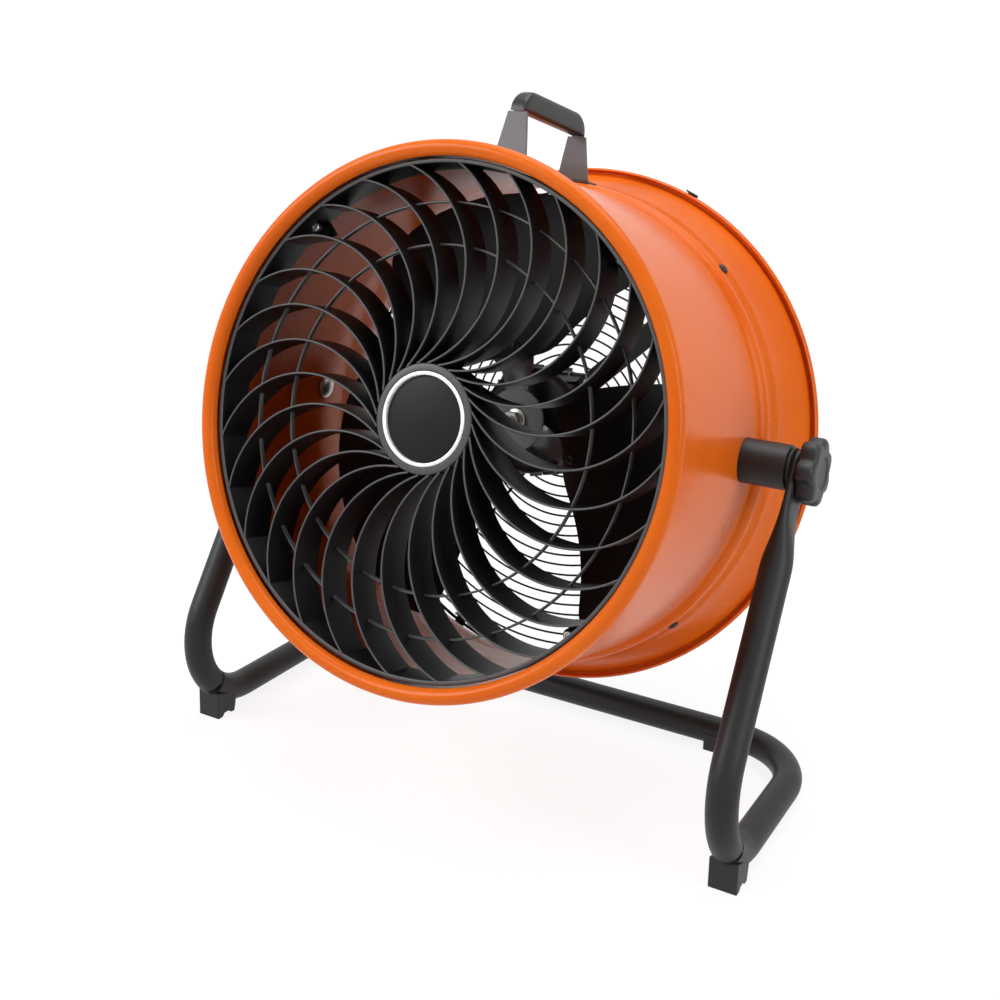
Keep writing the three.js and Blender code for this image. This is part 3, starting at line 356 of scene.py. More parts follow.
for i, turn in enumerate(quarters):
    piece(f"bracket_arm_{i + 1}", [spun(arm, turn)], black_paint, "drum", [f"motor_arm_{i + 1}"],
          bevel=0.5)
    head = screw((247.9, -51.65, 0), (1, 0, 0), 5.4, 2.5)
    piece(f"wall_screw_{i + 1}", [spun(head, turn)], black_paint, "drum", [f"bracket_screw_{i + 1}"])

# ---------------------------------------------------------------------------------------------------------
# Motor. Two cast aluminium bells, painted black, with cooling ribs round them and four ears on the front one.
# The winding, the rotor and the bearings sit inside and keep their plain shapes.
cast_black = satin("cast_black", (0.016, 0.016, 0.018), 0.5, 420.0, 0.09)
winding = satin("core_steel_finish", (0.20, 0.19, 0.18), 0.45, 700.0, 0.05, 0.8)
zinc = satin("zinc_plate", (0.42, 0.42, 0.40), 0.32, 500.0, 0.02, 0.9)


def bell(face, split, hole, way):
    """A bell's closed profile: a round shoulder between its face and its side, 3.5 mm thick all over."""
    outside = [(hole, face), *arc(46, face + way * 9, 9, 180 if way > 0 else 0, 90, 9), (55, split)]
    inside = [(51.5, split), *arc(46, face + way * 9, 5.5, 90, 180 if way > 0 else 0, 7), (hole, face + way * 3.5)]
    return outside + inside


def ribs(low, high, count):
    """Thin ribs that stand 2.6 mm out of the motor's side, evenly round it."""
    rib = brick((53.5, low, -1), (57.6, high, 1))
    return [spun(rib, 360 * (i + 0.5) / count) for i in range(count)]


ear = slab([(52, -8), (66, -8), (73, -3.5), (73, 3.5), (66, 8), (52, 8)], -61.2, -53.9, 1)
piece("motor_front_bell", [turned(bell(-24.2, -61.1, 8, -1)), *ribs(-58, -34, 24), *(spun(ear, q) for q in quarters)],
      cast_black, "drum", ["motor_front_housing"], crease=40)
piece("motor_rear_bell", [turned(bell(-100.8, -61.9, 6, 1)), *ribs(-96, -66.5, 24)], cast_black, "drum",
      ["motor_rear_housing"], crease=40)
for name in ("stator", "rotor"):
    frame["nodes"][name].data.materials[0] = winding
for name in ("bearing_front", "bearing_rear", "motor_shaft", *(f"motor_bolt_{i}" for i in range(1, 5))):
    frame["nodes"][name].data.materials[0] = zinc

# ---------------------------------------------------------------------------------------------------------
# Fan wheel. A pressed steel spider with three twisted arms, clamped to the motor's shaft by a flanged nut, and
# a wide aluminium paddle riveted to each arm. The paddles lie on one screw surface, and are painted black.
blade_turns = [97.0, 217.0, 337.0]
root, tip = 62.0, 228.4
blade_paint = satin("blade_paint", (0.014, 0.014, 0.016), 0.3, 260.0, 0.02)


def rise(radius, turn):
    """How far the screw surface is ahead: 34 mm for half a blade's span, less towards the hub's flat plate."""
    share = np.clip((radius - root) / (tip - root), 0, 1)
    half = np.radians(36 + 7 * share)
    fade = np.clip((radius - 32) / (root - 32), 0, 1)
    fade = fade * fade * (3 - 2 * fade)
    return fade * 34 * turn / half * radius / np.maximum(radius, root)


def on_screw(radius, turn, back, wall, across=24):
    """A plate on the screw surface: at each radius a flat ring runs over its front and back over its rear, where
    turn gives the low and high edge, in radians. Its edges are rounded by a thin first and last step."""
    share = np.linspace(0, 1, across)
    low, high = turn
    front = low[:, None] + (high - low)[:, None] * share
    inset = np.clip(np.minimum(share, 1 - share) * across / 2.2, 0, 1)
    thick = wall * (0.25 + 0.75 * np.sqrt(inset))
    reach = radius[:, None] + 0 * front
    middle = back + wall / 2 + rise(reach, front)
    turns = np.concatenate([front, front[:, ::-1]], 1)
    reach = np.concatenate([reach, reach], 1)
    ahead = np.concatenate([middle + thick / 2, (middle - thick / 2)[:, ::-1]], 1)
    return skin(np.stack([reach * np.cos(turns), ahead, reach * np.sin(turns)], -1))


def rivet(radius, seat, size):
    """A low dome on the screw surface at the middle of an arm, leaning with the surface."""
    lean = rise(np.array(radius), np.array(0.01)) / 0.01 / radius
    direction = np.array([0.0, 1.0, -lean]) / math.hypot(1, lean)
    return screw((radius, seat, 0), direction, size, 2.2)


steps = 0.5 - 0.5 * np.cos(np.linspace(0, math.pi, 40))
reach = root + (tip - root) * steps
ends = (1 - np.abs(2 * steps - 1) ** 9) ** 0.42
half_span = np.radians(36 + 7 * steps) * (0.12 + 0.88 * ends)
sweep = np.radians(14 - 18 * steps)
for i, turn in enumerate(blade_turns):
    paddle = on_screw(reach, (sweep - half_span, sweep + half_span), 3.4, 1.4)
    rivets = [rivet(radius, 5.0, 5.0) for radius in (root + 12, root + 32)]
    piece(f"paddle_{i + 1}", [spun(shape, turn) for shape in (paddle, *rivets)], blade_paint, "fan",
          [f"fan_blade_{i + 1}"], crease=45)

spider_paint = satin("spider_paint", (0.13, 0.13, 0.135), 0.38, 500.0, 0.03, 0.5)
hub = turned([(6.3, -14), (14, -14), (15, -13), (15, -1.5), (16.5, 0), (31.5, 0), (32, 0.6), (32, 2.4), (31.4, 3),
              (6.3, 3)], 72)
arm_reach = np.linspace(26, 104, 24)
arm_half = 13 / arm_reach * np.where(arm_reach > 96, np.sqrt(np.clip(1 - ((arm_reach - 96) / 8.6) ** 2, 0.1, 1)), 1)
spider_arm = on_screw(arm_reach, (-arm_half, arm_half), 0.0, 2.6, 12)
piece("spider", [hub, *(spun(spider_arm, turn) for turn in blade_turns)], spider_paint, "fan", ["fan_spider"],
      crease=40)
hexagon = [(9.2 * math.cos(turn), 9.2 * math.sin(turn)) for turn in np.radians(np.arange(0, 360, 60))]
flange = turned([(5.3, 3.3), (12.5, 3.3), (12.3, 4.3), (9.5, 5.7), (5.3, 5.7)], 48)
piece("flanged_nut", [flange, slab(hexagon, 5, 14.2, 1)], zinc, "fan", ["hub_nut"], bevel=0.5)

# ---------------------------------------------------------------------------------------------------------
# Front grille. One black moulding: an outer ring, a stepped cup in the middle, and 28 fins on edge between
# them, each bowed along a circle of 102 mm radius, with two thin rings that tie the fins together.
# The plastic is black; its last 1.3 mm towards the front edges is painted grey, a painted highlight where the front
# light catches those edges.
moulding = Finish("grille_moulding")
# Painted highlight: the base colour goes from black to grey over the last millimetre ahead, standing for front light
# caught on the front edges.
ahead_of = moulding.node("ShaderNodeVectorMath", {0: moulding.place, 1: tuple(forward)}, "Value",
                         operation="DOT_PRODUCT")
painted_edge_highlight = moulding.node("ShaderNodeMapRange", {"Value": ahead_of - float(pivot @ forward), "From Min": 0.1752,
                                              "From Max": 0.1762}, "Result")
moulding.surface({
    "Base Color": moulding.blend(painted_edge_highlight, (0.007, 0.007, 0.008), (0.085, 0.085, 0.088)),
    "Roughness": 0.34 + 0.1 * moulding.noise(14.0, 3.0),
    "Normal": moulding.bump(moulding.noise(700.0), 0.015), "Specular IOR Level": 0.3,
})
grille_front = 176.5
grille_back = 139.5
fin_count = 28
first_fin = 3.34
fin_bow = 102.0
bow_centre = (149.4, 41.4)  # radius and turn from the fin's waist
bow_turns = (229.0, 355.0)
fin_wall = 2.2

bow = np.radians(np.linspace(*bow_turns, 44))
centre_turn = math.radians(bow_centre[1])
centre = np.array([math.cos(centre_turn), math.sin(centre_turn)]) * bow_centre[0]
outward = np.stack([np.cos(bow), np.sin(bow)], -1)
front_edge = np.stack([np.cos(np.linspace(0, math.pi, 9)) * 0.5 * fin_wall * 0.86,
                       grille_front - 1 + np.sin(np.linspace(0, math.pi, 9))], -1)
fin_section = np.concatenate([front_edge, [(-0.5 * fin_wall, grille_back), (0.5 * fin_wall, grille_back)]])
fin_places = (centre + outward * fin_bow)[:, None, :] + outward[:, None, :] * fin_section[None, :, :1]
fin = skin(np.stack([fin_places[..., 0], np.broadcast_to(fin_section[:, 1], fin_places.shape[:2]),
                     fin_places[..., 1]], -1))
outer_ring = turned([(229.6, grille_back), (233.8, grille_back), (233.8, 174.6), *arc(232.4, 175.1, 1.4, 90, 0, 6),
                     *arc(231.0, 175.1, 1.4, 0, -90, 6)], 180)
cup = turned([(47.4, grille_back), (50.5, grille_back), (50.5, 172.4), *arc(48.9, 174.4, 1.4, 75, 10, 6),
              (46.6, 176.2), *arc(44.3, 175.5, 0.9, 0, -90, 6), (43.4, 170.5), (0.4, 170.5), (0.4, 167.4),
              (47.4, 167.4)], 120)
ties = [turned([(radius - 1, 157), (radius + 1, 157), (radius + 1, 161), (radius + 0.5, 161.6),
                (radius - 0.5, 161.6), (radius - 1, 161)], 144) for radius in (158.0, 196.5)]
boss = turned([(2.9, grille_back), (6, grille_back), (6, 155), (5.4, 155.6), (2.9, 155.6)], 32)
boss = (boss[0] + [227.2, 0, 0], boss[1])
fins = [spun(fin, first_fin + 360 * i / fin_count) for i in range(fin_count)]
piece("swirl_grille", [*fins, outer_ring, cup, *(spun(boss, turn) for turn in quarters)], moulding.material,
      "drum", ["front_grille"], crease=50)
# The tie rings belong to the same black moulding; their lighter grey is a painted sheen that stands for front light
# caught on them.
tie_painted_sheen = satin("tie_painted_sheen", (0.10, 0.10, 0.104), 0.4, 700.0, 0.015)
piece("tie_rings", ties, tie_painted_sheen, "drum", crease=50)
for i, turn in enumerate(quarters):
    head = screw((227.2, 156.0, 0), (0, 1, 0), 4.7, 2.4)
    piece(f"ear_screw_{i + 1}", [spun(head, turn)], zinc, "drum", [f"grille_screw_{i + 1}"])

# ---------------------------------------------------------------------------------------------------------
# Middle of the grille. A bright pressed ring round a plain black disc that is snapped into the cup and left
# blank.
bright = satin("bright_trim_finish", (0.86, 0.86, 0.86), 0.33, 300.0, 0.004, 0.4, 0.5)
disc_black = satin("disc_black", (0.004, 0.004, 0.004), 0.42, 1200.0, 0.01, gloss=0.2)
trim = turned([(39.3, 170.9), (43.0, 170.9), (43.0, 175.9), *arc(41.6, 176.0, 1.4, 80, 0, 6),
               *arc(40.7, 176.0, 1.4, 0, -90, 6)], 144)
piece("bright_ring", [trim], bright, "drum", ["trim_ring"], crease=50)
dish = turned([(38.9, 170.9), (38.9, 173.2), (38.3, 173.9), (30, 174.9), (18, 175.7), (6, 176.2), (1, 176.3)], 120,
              ring=False)
piece("blank_disc", [dish], disc_black, "drum", ["badge_disc"], crease=30)

# ---------------------------------------------------------------------------------------------------------
# Rear guard. Rings of steel wire, welded at 10.5 mm steps to four ribs and a pressed disc, dipped black. Four
# spring clips hook its outer wire to the drum's rear bead.
guard_paint = satin("guard_dip", (0.014, 0.014, 0.015), 0.36, 300.0, 0.03)
guard_plane = -116.0
guard_outer = 260.5
wire = 1.1


def hoop(radius, ahead, size, sides=132):
    """A wire bent to a circle about the drum's axis."""
    return turned(arc(radius, ahead, size, 0, 315, 8), sides)


def bar(start, end, size, sides=10):
    """A straight round wire between two places."""
    start, end = np.asarray(start, float), np.asarray(end, float)
    along = (end - start) / np.linalg.norm(end - start)
    aside = np.cross(along, [0.31, 0.52, 0.79])
    aside /= np.linalg.norm(aside)
    other = np.cross(along, aside)
    turn = np.linspace(0, 2 * math.pi, sides, endpoint=False)
    ring = size * (np.cos(turn)[:, None] * aside + np.sin(turn)[:, None] * other)
    return skin([start + ring, end + ring])


hoops = [hoop(guard_outer, guard_plane, 1.85)]
hoops += [hoop(guard_outer - 10.5 * i, guard_plane, wire) for i in range(1, 21)]
rib_turns = (56.25, 146.25, 236.25, 326.25)
guard_ribs = [spun(bar((47, guard_plane - 2.2, 0), (guard_outer + 1, guard_plane - 2.2, 0), 1.6), turn)
              for turn in rib_turns]
plate = turned([(50, guard_plane + 0.4), (49.4, guard_plane + 0.8), (42, guard_plane + 0.8), (4, guard_plane + 0.8),
                (4, guard_plane - 0.8), (49.4, guard_plane - 0.8), (50, guard_plane - 0.4)], 96)
piece("wire_guard", [*hoops, *guard_ribs, plate], guard_paint, "drum", ["rear_guard"], crease=50)
clip_line = np.array([(276.6, -115), (276.6, -123.2), (275.6, -124.2), (255.2, -124.2), (254.4, -123.4),
                      (254.4, -112.4), (255.9, -112.4), (255.9, -122.5), (275.0, -122.5), (275.0, -115)])
for i, turn in enumerate(quarters):
    piece(f"spring_clip_{i + 1}", [spun(slab(clip_line, -6, 6, 2), turn + 22.5)], guard_paint, "drum",
          [f"guard_clip_{i + 1}"], bevel=0.4)

# ---------------------------------------------------------------------------------------------------------
# Switch box. A black moulded can on the middle of the guard with the speed switch and the capacitor in it, a
# turning knob on its back, a raised scale of four strokes round the knob, and a gland for the mains lead.
switch_black = satin("switch_moulding", (0.018, 0.018, 0.02), 0.45, 1100.0, 0.03)
grey_ink = satin("scale_grey", (0.55, 0.55, 0.54), 0.5)
mouth = -117.1
back = mouth - 26.0
can = turned([(37.5, mouth), (40, mouth), (40, back + 4), *arc(36.2, back + 3.8, 3.8, 90, 180, 8), (3.6, back),
              (3.6, back + 2.5), (35.5, back + 2.5), (37.5, back + 4.5)], 96)
piece("switch_can", [can], switch_black, "drum", ["switch_box"], crease=40)
strokes = [spun(brick((16, back - 0.25, -0.9), (20.5, back + 0.2, 0.9)), 90 + 45 * i) for i in range(4)]
piece("speed_scale", strokes, grey_ink, "drum")
knob_face = back - 0.6
skirt = turned([(13, knob_face), (13, knob_face - 4.4), (11.6, knob_face - 6), (1, knob_face - 6)], 72, False)
grip_outline = [(3.4 * math.cos(t) * (1 if abs(math.sin(t)) < 0.8 else 0.9), 12 * math.sin(t))
                for t in np.radians(np.arange(0, 360, 12))]
pointer = brick((-0.6, knob_face - 14.4, 5.5), (0.6, knob_face - 13.4, 11.2))
piece("speed_dial", [skirt, slab(grip_outline, knob_face - 5, knob_face - 14, 1)], switch_black, "speed",
      ["speed_knob"], bevel=0.5)
piece("speed_pointer", [pointer], grey_ink, "speed")
gland_turns = np.linspace(0, 2 * math.pi, 48, endpoint=False)
gland_profile = [(8.5, -0.3), (8.5, -4.4), (7.0, -4.8), (6.6, -7.6), (5.6, -10), (3.7, -10), (3.6, 8), (6, 8),
                 (6, -0.2)]
gland = skin([np.stack([r * np.cos(gland_turns) * (1 + (0.03 * np.cos(12 * gland_turns) if 6 < r < 8 else 0)),
                        back + a + 0 * gland_turns, r * np.sin(gland_turns) - 24], -1) for r, a in gland_profile],
             joined=True)
piece("lead_gland", [gland], switch_black, "drum", ["cable_gland"])
for name in ("rotary_switch", "capacitor"):
    frame["nodes"][name].data.materials[0] = grey_ink

# ---------------------------------------------------------------------------------------------------------
# Handle. One 3 mm steel band with its faces to the front and back, cut so that it narrows to the grip, bent to a
# bridge, and folded outwards to a screwed foot at each end. The black grip is moulded round the bridge.
handle_ahead = 16.6
grip_low = 295.4
band_wall = 3.0
band_half = ((241.0, 19.0), (295.0, 10.2))  # half the band's width at two heights
strap_paint = satin("strap_paint", (0.10, 0.102, 0.108), 0.4, 600.0, 0.012)


def drum_outside(ahead):
    """The drum's outside at a place along it, with the paint's gap."""
    return wall_radius(ahead) + 0.9


def band(way):
    """One leg and its foot: a middle line down from the grip, round a fold of 4.5 mm radius and out along the
    drum. The band's half width follows its height, and its faces lie half its wall to each side of the line."""
    leg = 67.7  # from the handle's centre to the leg's middle at the drum
    fold = 4.5
    out = np.array([leg + fold, leg + 14.0, leg + 21.2])
    seat = drum_outside(handle_ahead + way * out) + band_wall / 2
    turn = np.radians(np.linspace(0, 80, 9))
    bent = np.stack([leg + fold * (1 - np.cos(turn)), seat[0] + fold * (1 - np.sin(turn))], -1)
    line = np.concatenate([[(64.6, 295.0), (66.0, 271.0), (67.4, 254.6)], bent, np.stack([out, seat], -1)])
    along = np.gradient(line, axis=0)
    normal = np.stack([-along[:, 1], along[:, 0]], -1) / np.linalg.norm(along, axis=1, keepdims=True)
    width = np.interp(line[:, 1], *zip(*band_half))[:, None]
    corners = np.array([(-1, 1), (1, 1), (1, -1), (-1, -1)])
    faces = line[:, None, :] + corners[:, 1, None] * normal[:, None, :] * band_wall / 2
    return skin(np.stack([corners[:, 0] * width, handle_ahead + way * faces[..., 0], faces[..., 1]], -1))


piece("bent_band", [band(1), band(-1)], strap_paint, "drum", ["handle_strap"], bevel=0.35)
for i, (ahead, under) in enumerate(((95.8, cylinder), (-62.6, cylinder + 6.6))):
    head = screw((0, ahead, under + 0.6 + 0.6 + band_wall), (0, 0, 1), 5.4, 2.6)
    piece(f"foot_screw_{i + 1}", [head], zinc, "drum", [f"handle_screw_{i + 1}"])

grip_half, grip_tall, grip_wide = 66.6, 21.8, 17.4
grip_finish = satin("grip_moulding", (0.009, 0.009, 0.009), 0.36, 1300.0, 0.012)
bend = np.radians(np.linspace(0, 90, 24))
half_ahead = np.concatenate([np.linspace(0, 40, 6), grip_half - grip_tall + grip_tall * np.sin(bend)])
along_grip = np.concatenate([-half_ahead[::-1], half_ahead[1:]])
past = np.clip((np.abs(along_grip) - (grip_half - grip_tall)) / grip_tall, 0, 0.999)
top = grip_tall * np.sqrt(1 - past ** 2)
around = np.linspace(0, 2 * math.pi, 48, endpoint=False)


def squared(turn, power):
    """A round that is squared off: cosine or sine with its size raised to a power below one."""
    return np.sign(turn) * np.abs(turn) ** power


grip_places = np.stack([
    grip_wide / 2 * squared(np.cos(around), 0.5)[None, :] * (1 - 0.16 * past[:, None] ** 6),
    handle_ahead + along_grip[:, None] + 0 * around,
    grip_low + (top / 2)[:, None] * (1 + squared(np.sin(around), 0.5)[None, :]),
], -1)
piece("moulded_grip", [skin(grip_places)], grip_finish, "drum", ["handle_grip"], crease=40)

# ---------------------------------------------------------------------------------------------------------
# Stand. One steel tube, 28.6 mm across, bent four times and powder-coated black, its two ends pressed flat and
# drilled for the pivot bolts. Four black clips snap onto it as feet.
powder = satin("powder_coat", (0.009, 0.009, 0.0095), 0.46, 1500.0, 0.06, gloss=0.3)
tube = 14.3
leg_plane = 292.5
rail_up = 17.5 - pivot[2] * 1000
leg_reach = 210.7
bar_behind = -100.0
front_bend, rear_bend = 72.0, 75.0
lean = math.atan2(leg_reach, -rail_up)
down = np.array([0.0, math.sin(lean), -math.cos(lean)])


def corner(before, at, after, radius, count):
    """Stations on an arc of a radius that touches both straight runs of a corner."""
    back, on = ((np.asarray(p, float) - at) / np.linalg.norm(np.asarray(p, float) - at) for p in (before, after))
    half = math.acos(np.clip(back @ on, -1, 1)) / 2
    middle = at + (back + on) / np.linalg.norm(back + on) * radius / math.sin(half)
    start, end = (at + way * radius / math.tan(half) - middle for way in (back, on))
    sweep = math.pi - 2 * half
    share = np.linspace(0, 1, count)[:, None]
    return middle + (start * np.sin((1 - share) * sweep) + end * np.sin(share * sweep)) / math.sin(sweep)


foot_point = np.array([leg_plane, leg_reach, rail_up])
rear_point = np.array([leg_plane, bar_behind, rail_up])
centre_point = np.array([0.0, bar_behind, rail_up])
top_point = np.array([leg_plane, 0.0, 0.0])
leg_line = top_point + down * np.concatenate([18 * np.cos(np.linspace(math.pi, math.pi / 2, 12)),
                                              np.linspace(4, 110, 36)])[:, None]
half_line = np.concatenate([leg_line, corner(top_point, foot_point, rear_point, front_bend, 26),
                            corner(foot_point, rear_point, centre_point, rear_bend, 22)])
tube_line = np.concatenate([half_line, (half_line * [-1, 1, 1])[::-1]])


def tube_rings(line, radius, sides=40):
    """A tube along the stand's line. Towards its ends the section goes over, by a smooth share, from a circle to
    a flat oval 8 mm thick and as far round, and past the pivot the oval narrows to a round end."""
    along = np.gradient(line, axis=0)
    along /= np.linalg.norm(along, axis=1, keepdims=True)
    aside = np.tile([1.0, 0.0, 0.0], (len(line), 1))
    level = np.abs(along[:, 2]) < 1e-6
    aside = np.where((np.abs(along[:, :1]) > 1e-6) | level[:, None], np.cross(along, [0, 0, 1.0]), aside)
    aside /= np.linalg.norm(aside, axis=1, keepdims=True)
    aside *= np.where(aside[:, :1] * np.sign(line[:, :1]) < 0, -1, 1)
    other = np.cross(along, aside)
    other *= np.where((other @ np.array([0, 1.0, 1.0]))[:, None] < 0, -1, 1)
    turn = np.linspace(0, 2 * math.pi, sides, endpoint=False)
    reach = line @ down
    leg = np.abs(np.abs(line[:, 0]) - leg_plane) < 0.1
    share = np.where(leg, np.clip((94 - reach) / 62, 0, 1), 0)
    share = (share * share * (3 - 2 * share))[:, None]
    flat_half = math.pi / 2 * (radius - 4) + 4
    thick = radius * np.cos(turn) * (1 - share) + np.clip(1.5 * np.cos(turn), -1, 1) * 4 * share
    wide = radius * np.sin(turn) * (1 - share) + flat_half * np.sin(turn) * share
    tip = np.clip(1 - np.clip(-reach, 0, 18) ** 2 / 18.2 ** 2, 0, 1) ** 0.5
    wide *= np.where(reach < 0, tip, 1)[:, None]
    return line[:, None, :] + thick[..., None] * aside[:, None, :] + wide[..., None] * other[:, None, :]


piece("bent_tube", [skin(tube_rings(tube_line, tube))], powder, "stand", ["stand_tube"], place=on_stand,
      crease=60)

clip_black = satin("clip_moulding", (0.013, 0.013, 0.014), 0.5, 900.0, 0.03)
floor_up = -pivot[2] * 1000
front_clip = [(137, 0), (130, 0), (127, 3.5), (119, 3.5), (116, 0), (111, 0), (107, 19.8), (137, 30)]
rear_clip = [(-84.7, 0), (-91.7, 0), (-93, 1.2), (-107, 1.2), (-108.3, 0), (-115.3, 0), (-115.3, 18.5),
             (-84.7, 18.5)]
for name, side in (("right", 1), ("left", -1)):
    shape = slab([(a, u + floor_up) for a, u in front_clip], side * leg_plane - 13.5, side * leg_plane + 13.5, 0)
    piece(f"front_clip_{name}", [shape], clip_black, "stand", [f"foot_clip_front_{name}"],
          place=on_stand, bevel=0.9)
    shape = slab([(a, u + floor_up) for a, u in rear_clip], side * 200 - 13.5, side * 200 + 13.5, 0)
    piece(f"rear_clip_{name}", [shape], clip_black, "stand", [f"foot_clip_rear_{name}"],
          place=on_stand, bevel=0.9)

# ---------------------------------------------------------------------------------------------------------
# Pivots. On each side a bolt passes out through the drum, a black sleeve shaped to the drum, a rubber washer
# and the tube's flat end, and a lobed knob on its thread clamps them together.
sleeve_black = satin("sleeve_moulding", (0.009, 0.008, 0.008), 0.42, 800.0, 0.02)
washer_rubber = satin("washer_rubber", (0.02, 0.02, 0.02), 0.7, 1500.0, 0.03)
knob_black = satin("knob_moulding", (0.014, 0.014, 0.0145), 0.44, 1100.0, 0.035)
round_turn = np.linspace(0, 2 * math.pi, 64, endpoint=False)


def sleeve_rings(side):
    """Rings about the pivot: the inner end follows the drum's round outside, the outer end is flat."""
    rings = []
    for radius, outer in ((21.0, 0.0), (21.0, 1.0), (20.2, 1.04), (5.6, 1.04), (5.6, 0.0)):
        up, ahead = radius * np.sin(round_turn), radius * np.cos(round_turn)
        drum = np.sqrt((wall_radius(ahead) + 0.9) ** 2 - up ** 2)
        across = drum * (1 - min(outer, 1)) + min(outer, 1) * (284.0 + (0.6 if outer > 1 else 0))
        rings.append(np.stack([side * across, ahead, up], -1))
    return skin(rings, joined=True)


def on_pivot(profile, side, lobes=0, depth=0.0):
    """A profile of [radius, across] turned about the pivot. Lobes push its rim in and out as a rounded wave that
    fades towards the middle."""
    profile = np.asarray(profile, float)
    radius = profile[:, :1]
    outer = np.clip((radius - 14) / 15, 0, 1)
    wave = np.cos(lobes * round_fine)[None, :]
    shaped = radius + depth * outer * (wave - 0.25 * wave ** 2)
    across = side * (profile[:, 1:] + 0 * shaped)
    return skin(np.stack([across, shaped * np.cos(round_fine), shaped * np.sin(round_fine)], -1))


round_fine = np.linspace(0, 2 * math.pi, 168, endpoint=False)
knob_profile = [(10, 297.0), (26, 296.9), (28.5, 297.4), (29.7, 299.2), (29.7, 308.6), (29.0, 311.2), (27.0, 312.9),
                (24.0, 313.6), (18.0, 313.7), (15.6, 313.4), (14.6, 312.6), (12.0, 312.5), (0.5, 312.5)]
for name, side in (("right", 1), ("left", -1)):
    piece(f"pivot_sleeve_{name}", [sleeve_rings(side)], sleeve_black, "drum", [f"pivot_spacer_{name}"],
          crease=40)
    washer = [(6, 285.0), (18.6, 285.0), (19, 285.4), (19, 287.6), (18.6, 288.0), (6, 288.0)]
    piece(f"rubber_washer_{name}", [on_pivot(washer, side)], washer_rubber, "drum", [f"friction_washer_{name}"])
    bolt = [(12, 238.4), (12, 236.6), (10.4, 235.2), (6, 233.9), (0.5, 233.6)]
    piece(f"bolt_head_{name}", [on_pivot(bolt, side), on_pivot([(5, 238.0), (5, 304.0)], side)], zinc, "drum",
          [f"pivot_bolt_{name}"])
    piece(f"lobed_knob_{name}", [on_pivot(knob_profile, side, 7, 2.5)], knob_black, f"knob_{name}",
          [f"clamp_knob_{name}"], crease=50)

# ---------------------------------------------------------------------------------------------------------
# Studio. A pale floor that curves up into a backdrop, two large soft lamps and a smaller one, and the camera at
# the photograph's viewpoint.
seen_by = [f"Is {kind} Ray" for kind in ("Camera", "Glossy", "Transmission")]
studio = Finish("pale_floor")
studio.fill(studio.shader, {"Base Color": (0.9, 0.9, 0.9, 1.0), "Roughness": 0.9, "Specular IOR Level": 0.0})
seen = sum(studio.node("ShaderNodeLightPath", output=kind) for kind in seen_by)
distance = studio.node("ShaderNodeVectorMath", {0: studio.place}, "Value", operation="LENGTH")
white = studio.node("ShaderNodeEmission", {"Color": (1, 1, 1, 1), "Strength": 1.1})
share = (0.78 + 0.05 * distance) * seen
mixed = studio.node("ShaderNodeMixShader", {"Fac": share})
mixer = studio.tree.nodes[-1]
studio.tree.links.new(studio.shader.outputs[0], mixer.inputs[1])
studio.tree.links.new(white.socket, mixer.inputs[2])
studio.tree.links.new(mixed.socket, studio.tree.nodes["Material Output"].inputs["Surface"])
curve_turn = np.linspace(0, math.pi / 2, 16)
run = np.concatenate([[-6.0], 3.0 + 2.0 * np.sin(curve_turn), [5.0]])
climb = np.concatenate([[0.0], 2.0 - 2.0 * np.cos(curve_turn), [8.0]])
places = np.stack(np.broadcast_arrays(np.array([-9.0, 9.0])[None, :], run[:, None], climb[:, None]), -1)
grid = np.arange(len(run) - 1)[:, None] * 2 + np.array([0, 1, 3, 2])
sweep_mesh = bpy.data.meshes.new("studio_sweep")
sweep_mesh.from_pydata(places.reshape(-1, 3).tolist(), [], grid.tolist())
sweep_mesh.polygons.foreach_set("use_smooth", np.ones(len(grid), bool))
sweep_mesh.materials.append(studio.material)
sweep_object = bpy.data.objects.new("studio_sweep", sweep_mesh)
bpy.context.scene.collection.objects.link(sweep_object)

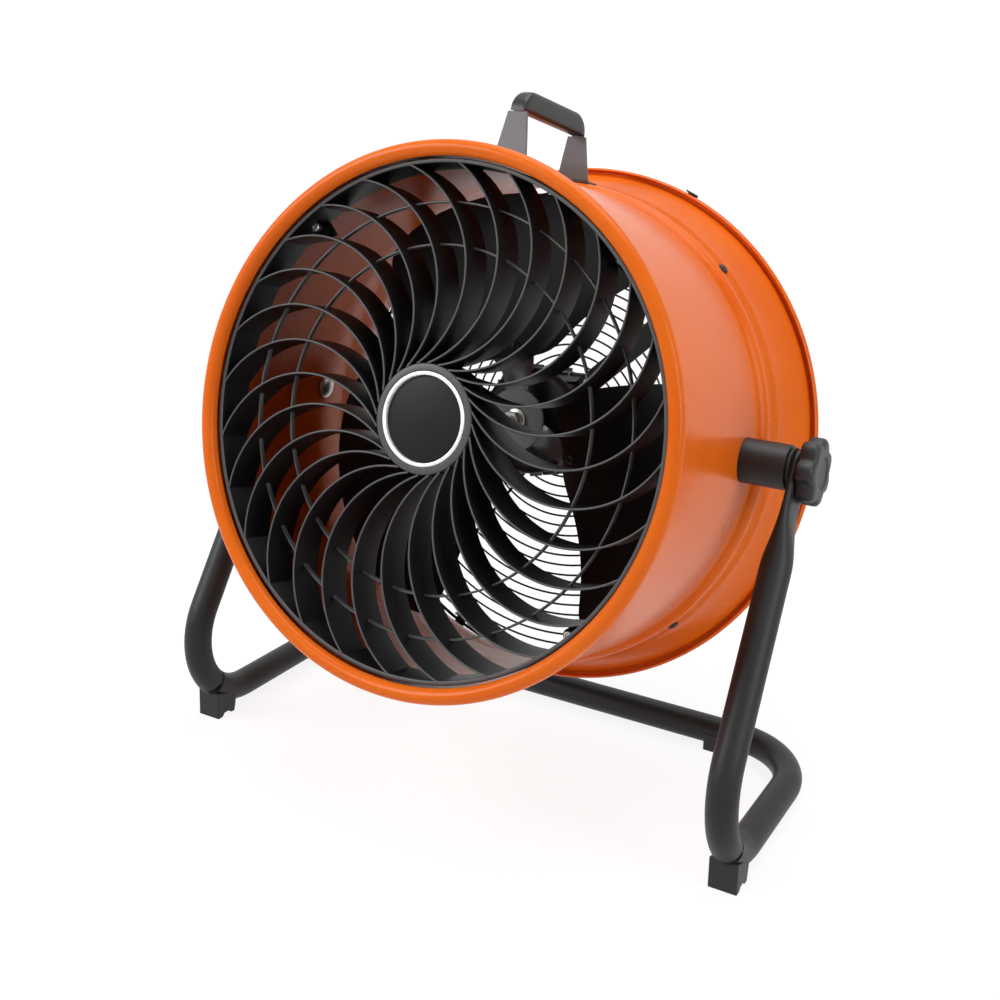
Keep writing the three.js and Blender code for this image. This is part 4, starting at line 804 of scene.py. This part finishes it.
world = bpy.data.worlds.new("studio_air")
bpy.context.scene.world = world
world.use_nodes = True
sky = world.node_tree
background = sky.nodes["Background"]
path = sky.nodes.new("ShaderNodeLightPath")
level = 0.02 + 0.98 * sum(Link(sky, path.outputs[kind]) for kind in seen_by)
background.inputs["Color"].default_value = (1, 1, 1, 1)
sky.links.new(level.socket, background.inputs["Strength"])


def lamp(name, place, target, size, power):
    """A square soft lamp at a place, turned to face a target, with its power in watts."""
    data = bpy.data.lights.new(name, "AREA")
    data.shape = "RECTANGLE"
    data.size, data.size_y = size
    data.energy = power
    made = bpy.data.objects.new(name, data)
    towards = np.asarray(target, float) - place
    towards /= np.linalg.norm(towards)
    side = np.cross(towards, [0, 0, 1.0])
    side /= np.linalg.norm(side)
    made.matrix_world = Matrix((
        (side[0], np.cross(side, towards)[0], -towards[0], place[0]),
        (side[1], np.cross(side, towards)[1], -towards[1], place[1]),
        (side[2], np.cross(side, towards)[2], -towards[2], place[2]),
        (0, 0, 0, 1)))
    bpy.context.scene.collection.objects.link(made)
    return made


lamp("left_softbox", (-2.0, -1.9, 2.0), pivot, (1.6, 1.6), 70)
lamp("right_softbox", (2.6, -0.7, 1.5), pivot, (1.2, 1.8), 34)
lamp("top_softbox", (0.2, 0.3, 3.0), pivot, (2.2, 2.2), 60)

camera_place = np.array([0.6328, -1.1142, 0.7064])
camera_turn, camera_height, camera_roll = (math.radians(v) for v in (29.751, 12.432, 1.397))
behind = np.array([math.sin(camera_turn) * math.cos(camera_height),
                   -math.cos(camera_turn) * math.cos(camera_height), math.sin(camera_height)])
right = np.cross(-behind, [0, 0, 1.0])
right /= np.linalg.norm(right)
above = np.cross(right, -behind)
rolled = right * math.cos(camera_roll) + above * math.sin(camera_roll)
above = above * math.cos(camera_roll) - right * math.sin(camera_roll)
lens = bpy.data.cameras.new("studio_camera")
lens.lens = 48.52
lens.sensor_width = 36.0
lens.shift_y = -0.15
lens.clip_start = 0.05
camera = bpy.data.objects.new("studio_camera", lens)
camera.matrix_world = Matrix((
    (rolled[0], above[0], behind[0], camera_place[0]),
    (rolled[1], above[1], behind[1], camera_place[1]),
    (rolled[2], above[2], behind[2], camera_place[2]),
    (0, 0, 0, 1)))
bpy.context.scene.collection.objects.link(camera)
bpy.context.scene.camera = camera
bpy.context.scene.view_settings.view_transform = "Standard"
